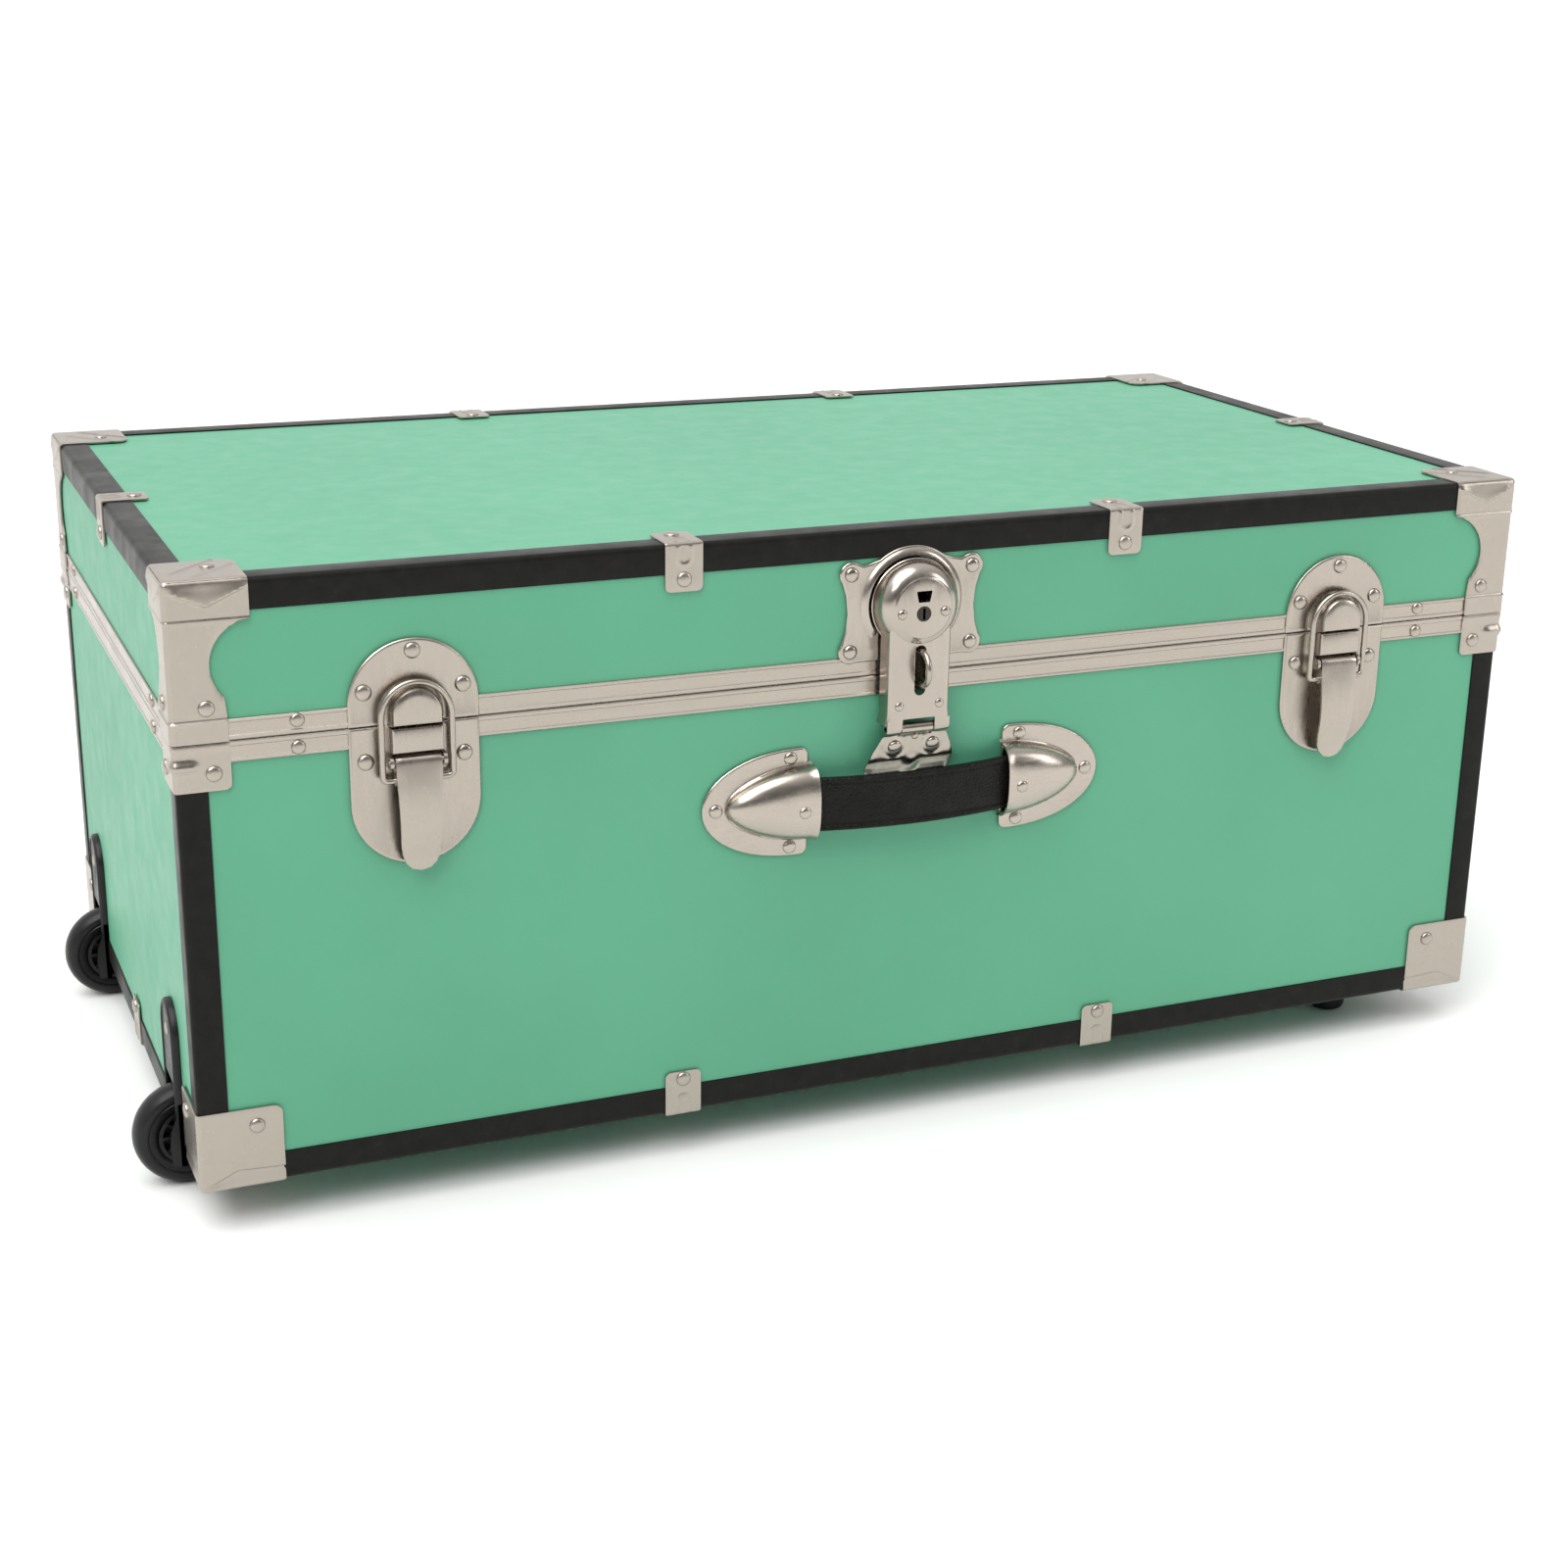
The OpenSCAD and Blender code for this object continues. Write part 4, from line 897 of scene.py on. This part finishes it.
def hasp():
    """The hasp: a dome with the lock's face, and a channel down to the hinge."""
    plug_z, skin = middle("lock_plug").z, 0.9
    outer = [(23.9, 2.6), (23.9, 3.2), (23.5, 3.6), (23.4, 6), (22.8, 9), (21.6, 11.6), (19.8, 13.6),
             (17.9, 14.9), (16.8, 15.3), (16.3, 15.5), (15.9, 15.9), (15.4, 16.1), (0, 16.1)]
    inner = [(0, 15.2), (15, 15.0), (18, 13.6), (20.4, 11), (22.0, 7.5), (22.6, 3.2), (22.6, 2.6)]
    half, out = 18, 14
    corner = [(-half, 3.0), (-half, out - 3.4), (-half + 0.4, out - 1.8), (-half + 1.2, out - 0.7),
              (-half + 2.4, out - 0.15), (-half + 4, out)]
    section = corner + [(-x, o) for x, o in reversed(corner)]
    section += [(x * (half - skin) / half, o - (skin if o > 4 else 0)) for x, o in reversed(section)]
    flare = [(208.6, 1.3), (210, 0.9), (212, 0.4), (215, 0), (262, 0)]
    channel = tube([[(x + math.copysign(grow, x), -o, z) for x, o in section] for z, grow in flare])
    slot = rounded([(-3.15, 224), (3.15, 224), (3.15, 251), (-3.15, 251)], 3.1)
    slot = tube([[(x, y, z) for x, z in slot] for y in (-20, -1)])
    window = rounded([(-4.5, 280.3), (-3.2, 274.3), (3.2, 274.3), (4.5, 280.3)], 0.5, 3)
    window = tube([[(x, y, z) for x, z in window] for y in (-20, -9)])
    keyhole = revolve([(4.1, 9), (4.1, 20)], (0, 0, plug_z), segments=40)
    passage = slab((-17, -13.1, 238), (17, -2, 261))
    notch = slab((-9.3, -20, 203), (9.3, -4, 211.6), 0.8)
    dome = revolve(outer + inner, (0, 0, DOME_Z), segments=88, closed=True)
    piece = Piece("hasp_shell")
    piece.add(cut(dome, [passage, slot, window, keyhole]))
    piece.add(cut(channel, [slot, notch]))
    knuckle = [(2.3, 9.35), (2.7, 9.6), (2.85, 10), (2.85, half - 0.5), (2.6, half - 0.1), (2.2, half)]
    web = [(-13.9, 206), (-13.2, 205.2), (-11, 206), (-12.6, 211), (-13.9, 211)]
    for sign in (-1, 1):
        piece.add(revolve(knuckle, HASP_PIN, (sign, 0, 0), 28))
        piece.add(tube([[(sign * x, y, z) for y, z in web] for x in (9.35, half)]))
        piece.add(rivet(sign * 12.3, 268.7, 16.0, 2.7, 1.5))
        piece.add(rivet(sign * 11.5, 218.8, 13.9, 2.5, 1.2))
    piece.make(lock_m, "hasp", ["hasp"], "lock_steel")


def hinge_plate():
    """The bell-shaped plate that leans out from the body to the hasp's pin."""
    levels = ((177, 1.3), (179, 1.7), (183, 3.6), (187, 6.3), (188.5, 7.0), (194, 8.0), (201, 9.6),
              (206, 13.2))
    half = [(21.5, 177), (24.3, 179.2), (25, 183), (24.4, 187.5), (22.6, 193), (19.6, 199), (18.2, 201.8),
            (9.2, 201.8), (9.2, 206)]
    rivet_x, rivet_z = 11, 195.5

    def height(u, v):
        from_rivet = math.hypot(abs(u) - rivet_x, v - rivet_z)
        groove = 0.6 * ridge(from_rivet - 6.2, 1.0) * smooth(from_rivet, 4, 6)
        if v > 196 and abs(u) > rivet_x:
            groove *= 0.3
        bulge = 1.8 * ridge(math.hypot(u, v - 183.5), 7)
        edge = 0.8 * smooth(abs(u), 21, 25)
        return bulge - edge - groove + 0.5 * ridge(from_rivet, 6)

    flat = sheet(mirrored(half), across(span(-24, 24, 1.1)) + up_at(span(178, 205.4, 1.1)), lip=0.5)
    piece = Piece("hasp_hinge")
    piece.add(pressed(flat, height, lambda u, v, h: (u, -(between(v, levels) + h), v), 1.1))
    piece.add(revolve([(2.5, -9), (2.8, -8.6), (2.8, 8.6), (2.5, 9)], HASP_PIN, (1, 0, 0), 28))
    tilt = Vector((0, -0.93, -0.36))
    for sign in (-1, 1):
        piece.add(rivet(sign * rivet_x, rivet_z, 8.4, 3.9, 2.0, axis=tilt))
    piece.add(rivet(0, 200.6, 9.9, 1.7, 1.0, axis=tilt))
    piece.make(lock_m, "body", ["hasp_hinge_plate"], "lock_steel")


# ---- handles ----


def handle(name, place):
    """A strap handle drawn at the origin: two bullet-shaped caps on flanges, and a strap."""
    caps = Piece(f"{name}_grip_caps")
    flange = arc(61, 25.5, 4, 180, 90, 5)
    flange += [(61 + 55 * math.cos(a) ** 0.92, 29.5 * math.sin(a))
               for a in map(math.radians, span(86, -86, 6))]
    flange += arc(61, -25.5, 4, 270, 180, 5)
    mouth, tip, skin = 55, 103.5, 1.0
    stations = []
    for i in range(25):
        t = (i / 24) ** 0.9
        x = mouth + (tip - mouth) * t
        k = max(1 - t ** 2.1, 0.0) ** 0.62
        wide, out = 19.6 * k + 0.3, 12.6 * max(1 - t ** 2.6, 0) ** 0.55 + 0.15
        flare = 0.9 * math.exp(-((x - mouth) / 1.6) ** 2)
        power = 2 / (2.7 - 0.5 * t)
        loop = [(x, -0.7, -wide - 1.7), (x, -1.25, -wide - 1.2), (x, -1.7, -wide - 0.35)]
        for a in map(math.radians, span(4, 176, 7)):
            c, s = math.cos(a), math.sin(a)
            z = -math.copysign(abs(c) ** power, c) * (wide + flare)
            loop.append((x, -1.2 - (out + flare) * s ** power, z))
        loop += [(x, -1.7, wide + 0.35), (x, -1.25, wide + 1.2), (x, -0.7, wide + 1.7)]
        inside = []
        for a in map(math.radians, span(176, 4, 12)):
            c, s = math.cos(a), math.sin(a)
            z = -math.copysign(abs(c) ** power, c) * max(wide + flare - skin, 0.1)
            inside.append((x, -0.8 - max(out + flare - skin + 0.4, 0.1) * s ** power, z))
        stations.append(loop + inside)
    edge = [(0, -0.1), (0, 0.6), (0.35, 1.0), (0.8, 1.2), (1.4, 1.2), (1.9, 1.1)]
    for sign in (-1, 1):
        flip = place @ Matrix.Diagonal((sign, 1, 1, 1))
        caps.add(terrace(flange, edge), flip)
        caps.add(tube(stations), flip)
        for x, z in ((108.5, 0), (67, 24.3), (67, -24.3)):
            caps.add(rivet(x, z, 1.1, 3.7, 1.6), flip)
        caps.add(rivet(63.5, -2, 13.6, 3.3, 1.5), flip)
    caps.make(handle_m, "body", [f"{name}_handle_caps"], "handle_steel")
    half = [(10.6, 1.8), (11.0, 1.55), (11.5, 1.6), (12.1, 2.2), (12.8, 2.4), (13.5, 2.3), (14.2, 1.8),
            (14.5, 1.1), (14.5, -1.2), (14.1, -2.0), (13.3, -2.4)]
    section = [(0, 1.8)] + half + [(0, -2.4)] + [(-z, n) for z, n in reversed(half)]
    radius, curved, proud = 243.75, 60, 14.5
    path = []
    for x in [-74, -68, -62] + span(-58, 58, 2.9) + [62, 68, 74]:
        slope = math.asin(min(abs(x), curved) / radius)
        sag = radius * (1 - math.cos(slope))
        path.append((x, sag - proud, math.copysign(slope, x) if abs(x) <= curved else 0))
    strap = Piece(f"{name}_grip")
    strap.add(tube([[(x + n * math.sin(t), y - n * math.cos(t), z) for z, n in section]
                    for x, y, t in path]), place)
    strap.make(strap_m, "body", [f"{name}_handle_strap"], "strap_black")


# ---- wheels ----


def wheel(name, body):
    """A tyre with stepped sidewalls round the spoked hub."""
    node = f"{name}_wheel_tyre"
    r, half = high(node).x - middle(node).x, high(node).y - middle(node).y
    side = [(15.5, half - 2.4), (16.3, half - 1.6), (17.6, half - 1.2), (20, half - 0.8),
            (20.4, half - 1.1), (20.8, half - 0.8), (r - 5, half - 0.6), (r - 3.2, half - 1.3),
            (r - 1.7, half - 2.8), (r - 0.7, half - 4.8), (r - 0.15, half - 7), (r, half - 8.8)]
    profile = side + [(d, -h) for d, h in reversed(side)]
    tyre = revolve(profile, middle(node), (0, 1, 0), 96, closed=True)
    Piece(f"{name}_tyre").add(tyre).make(tyre_m, body, [node], "tyre_black", sharp=40)


def housing(name, flip):
    """A moulded bracket round the wheel's slot: a beaded tongue, kinked cheeks and a well behind."""
    node = f"{name}_wheel_housing"
    at = Matrix.Translation((-HALF, middle(node).y, 0))
    place = at @ turned(-90) @ Matrix.Diagonal((flip, 1, 1, 1))
    low_z, top_z, half, open_half, open_top = -9, 78, 17, 15, 34
    deep, roof = high(node).x + HALF, 37
    arch = arc(0, top_z - half, half, 0, 180, 28)
    slot = arc(-open_half + 3, open_top - 3, 3, 180, 90, 5) + arc(open_half - 3, open_top - 3, 3, 90, 0, 5)
    outline = [(half, low_z)] + arch + [(-half, low_z), (-open_half, low_z)] + slot + [(open_half, low_z)]
    piece = Piece(f"{name}_bracket")
    piece.add(terrace(outline, [(0, -1), (0, 1.9), (0.25, 2.3), (0.6, 2.5)]), place)
    bead = [(half - 1.7, 18)] + arc(0, top_z - half, half - 1.7, 0, 180, 28) + [(-half + 1.7, 18)]
    piece.add(wire([(x, -2.1, z) for x, z in bead], 1.2, 10), place)
    cheek = rounded([(1, low_z), (-6.2, low_z), (-7, 2), (-6.2, 10), (-3.4, 17), (-2.6, 26), (1, 26)],
                    [0, 2, 4, 4, 3, 1, 0], 5)
    wall = [(half, -1), (half, roof), (-half, roof), (-half, -1), (-open_half, -1), (-open_half, roof - 2),
            (open_half, roof - 2), (open_half, -1)]
    piece.add(tube([[(x, y, z) for x, z in wall] for y in (1, deep)]), place)
    piece.add(slab((-half, deep - 2, 1), (half, deep, roof)), place)
    for side in (-1, 1):
        piece.add(tube([[(side * x, y, z) for y, z in cheek] for x in (open_half, half)]), place)
    piece.make(housing_m, "body", [node], "housing_black", sharp=40)
    head = Piece(f"{name}_bracket_rivet").add(rivet(0, 62, 2.5, 3.4, 1.0), place)
    head.make(cap_m, "body", (), "cap_steel")


def hinge_rivets():
    """Two domed heads on each leaf of the lid's hinges."""
    mid, far = middle("hinge_pins").z, high("hinge_pins").x
    for body, drop in (("body", -15), ("lid", 15)):
        heads = Piece(f"{body}_hinge_rivets")
        for sign in (-1, 1):
            for x in (far - 10, far - 50):
                heads.add(rivet(sign * x, mid + drop, 0, 3.6, 1.5, axis=(0, 1, 0), y=DEPTH + 1.2))
        heads.make(hinge_m, body, (), "hinge_steel")


# ---- stage, light and camera ----


def stage():
    """A plain pale floor that reaches the horizon."""
    mesh = bpy.data.meshes.new("floor")
    far = 400
    corners = [(-far, -far, 0), (far, -far, 0), (far, far, 0), (-far, far, 0)]
    mesh.from_pydata(corners, [], [(0, 1, 2, 3)])
    floor = put("floor", mesh)
    s = Shader("floor_pale", 0.75)
    s.paint(s.colour(s.noise(2, 2), [(0.3, (0.86, 0.86, 0.85)), (0.7, (0.88, 0.88, 0.87))]))
    mesh.materials.append(s.material)


def softbox(name, at, target, size, watts):
    data = bpy.data.lights.new(name, "AREA")
    data.shape = "RECTANGLE"
    data.size, data.size_y = size
    data.energy = watts
    put(name, data, at, (Vector(target) - Vector(at)).to_track_quat("-Z", "Y"))


def sun(name, come_from, strength, angle):
    data = bpy.data.lights.new(name, "SUN")
    data.energy = strength
    data.angle = math.radians(angle)
    put(name, data, rotation=Vector(come_from).to_track_quat("Z", "Y"))


def lights():
    """Soft light from above and behind, a darker studio in front, and two softboxes for the metal."""
    sun("overhead", (-0.30, -0.24, 0.92), 2.05, 50)
    softbox("key", (-1.5, -1.7, 1.9), (0, -0.1, 0.2), (0.9, 0.9), 16)
    softbox("side", (1.9, -1.5, 1.1), (0.1, -0.1, 0.2), (0.5, 1.2), 9)
    world = bpy.data.worlds.new("studio")
    bpy.context.scene.world = world
    world.use_nodes = True
    tree = world.node_tree
    facing = add_node(tree, "VectorMath")
    facing.operation = "DOT_PRODUCT"
    facing.inputs[1].default_value = (-0.15, 0.72, 0.68)
    tree.links.new(add_node(tree, "TexCoord").outputs["Generated"], facing.inputs[0])
    level = add_node(tree, "MapRange", Value=facing.outputs["Value"], From_Min=-0.6, From_Max=0.8,
                     To_Min=0.16, To_Max=1.05)
    level.interpolation_type = "SMOOTHSTEP"
    wall = add_node(tree, "Math")  # seen directly, the studio's wall is plain and pale
    wall.operation = "MAXIMUM"
    tree.links.new(level.outputs["Result"], wall.inputs[0])
    tree.links.new(add_node(tree, "LightPath").outputs["Is Camera Ray"], wall.inputs[1])
    tree.links.new(wall.outputs["Value"], tree.nodes["Background"].inputs["Strength"])
    tree.nodes["Background"].inputs["Color"].default_value = (1, 1, 1, 1)


def camera():
    """The photograph's viewpoint, solved from the box's corners."""
    data = bpy.data.cameras.new("camera")
    data.sensor_width = 36
    data.lens = 56.402
    azimuth, elevation, roll = math.radians(-22.940), math.radians(18.409), 0.879
    level = math.cos(elevation)
    back = Vector((math.sin(azimuth) * level, -math.cos(azimuth) * level, math.sin(elevation)))
    rotation = (-back).to_track_quat("-Z", "Y") @ turned(roll).to_quaternion()
    location = ORIGIN + Vector((-543.82, -1119.38, 583.50)) * MM
    bpy.context.scene.camera = put("camera", data, location, rotation)
    bpy.context.scene.view_settings.view_transform = "Standard"


def dress(materials):
    """Gives each CAD node that stays its own material."""
    for material, slot_nodes in materials:
        for node in slot_nodes:
            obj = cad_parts[node]
            obj.data.materials.clear()
            obj.data.materials.append(material)


camera()
stage()
lights()
dress([
    (vinyl_m, ["front_panel", "rear_panel", "left_end_panel", "right_end_panel", "bottom_panel",
               "lid_top_panel", "lid_front_panel", "lid_rear_panel", "lid_end_panels"]),
    (paper_m, ["body_lining", "lid_lining"]),
    (pin_m, ["wheel_axles", "lever_pins", "hasp_hinge_pin", "hinge_pins", "padlock_staple"]),
    (lock_m, ["lock_case", "lock_catch"]),
    (plug_m, ["lock_plug"]),
    (cam_m, ["lock_cam"]),
    (hinge_m, ["hinge_body_leaves", "hinge_lid_leaves"]),
    (hub_m, ["front_wheel_hub", "rear_wheel_hub"]),
    (foot_m, ["feet"]),
])
rails()
trims()
lid_caps()
bottom_caps()
rim_caps()
clips()
rivets()
for latch_side in ("left", "right"):
    latch_x = middle(f"{latch_side}_latch_plate").x
    latch(latch_side, latch_x)
    lever(latch_side, latch_x)
    bail(latch_side, latch_x)
back_plate()
hasp()
hinge_plate()
handle_z = middle("front_handle_caps").z
on_end = Matrix.Translation((HALF, DEPTH / 2, handle_z)) @ turned(90)
handle("front", Matrix.Translation((0, 0, handle_z)))
handle("end", on_end)
wheel("front", "front_wheel")
wheel("rear", "rear_wheel")
housing("front", 1)
housing("rear", -1)
hinge_rivets()
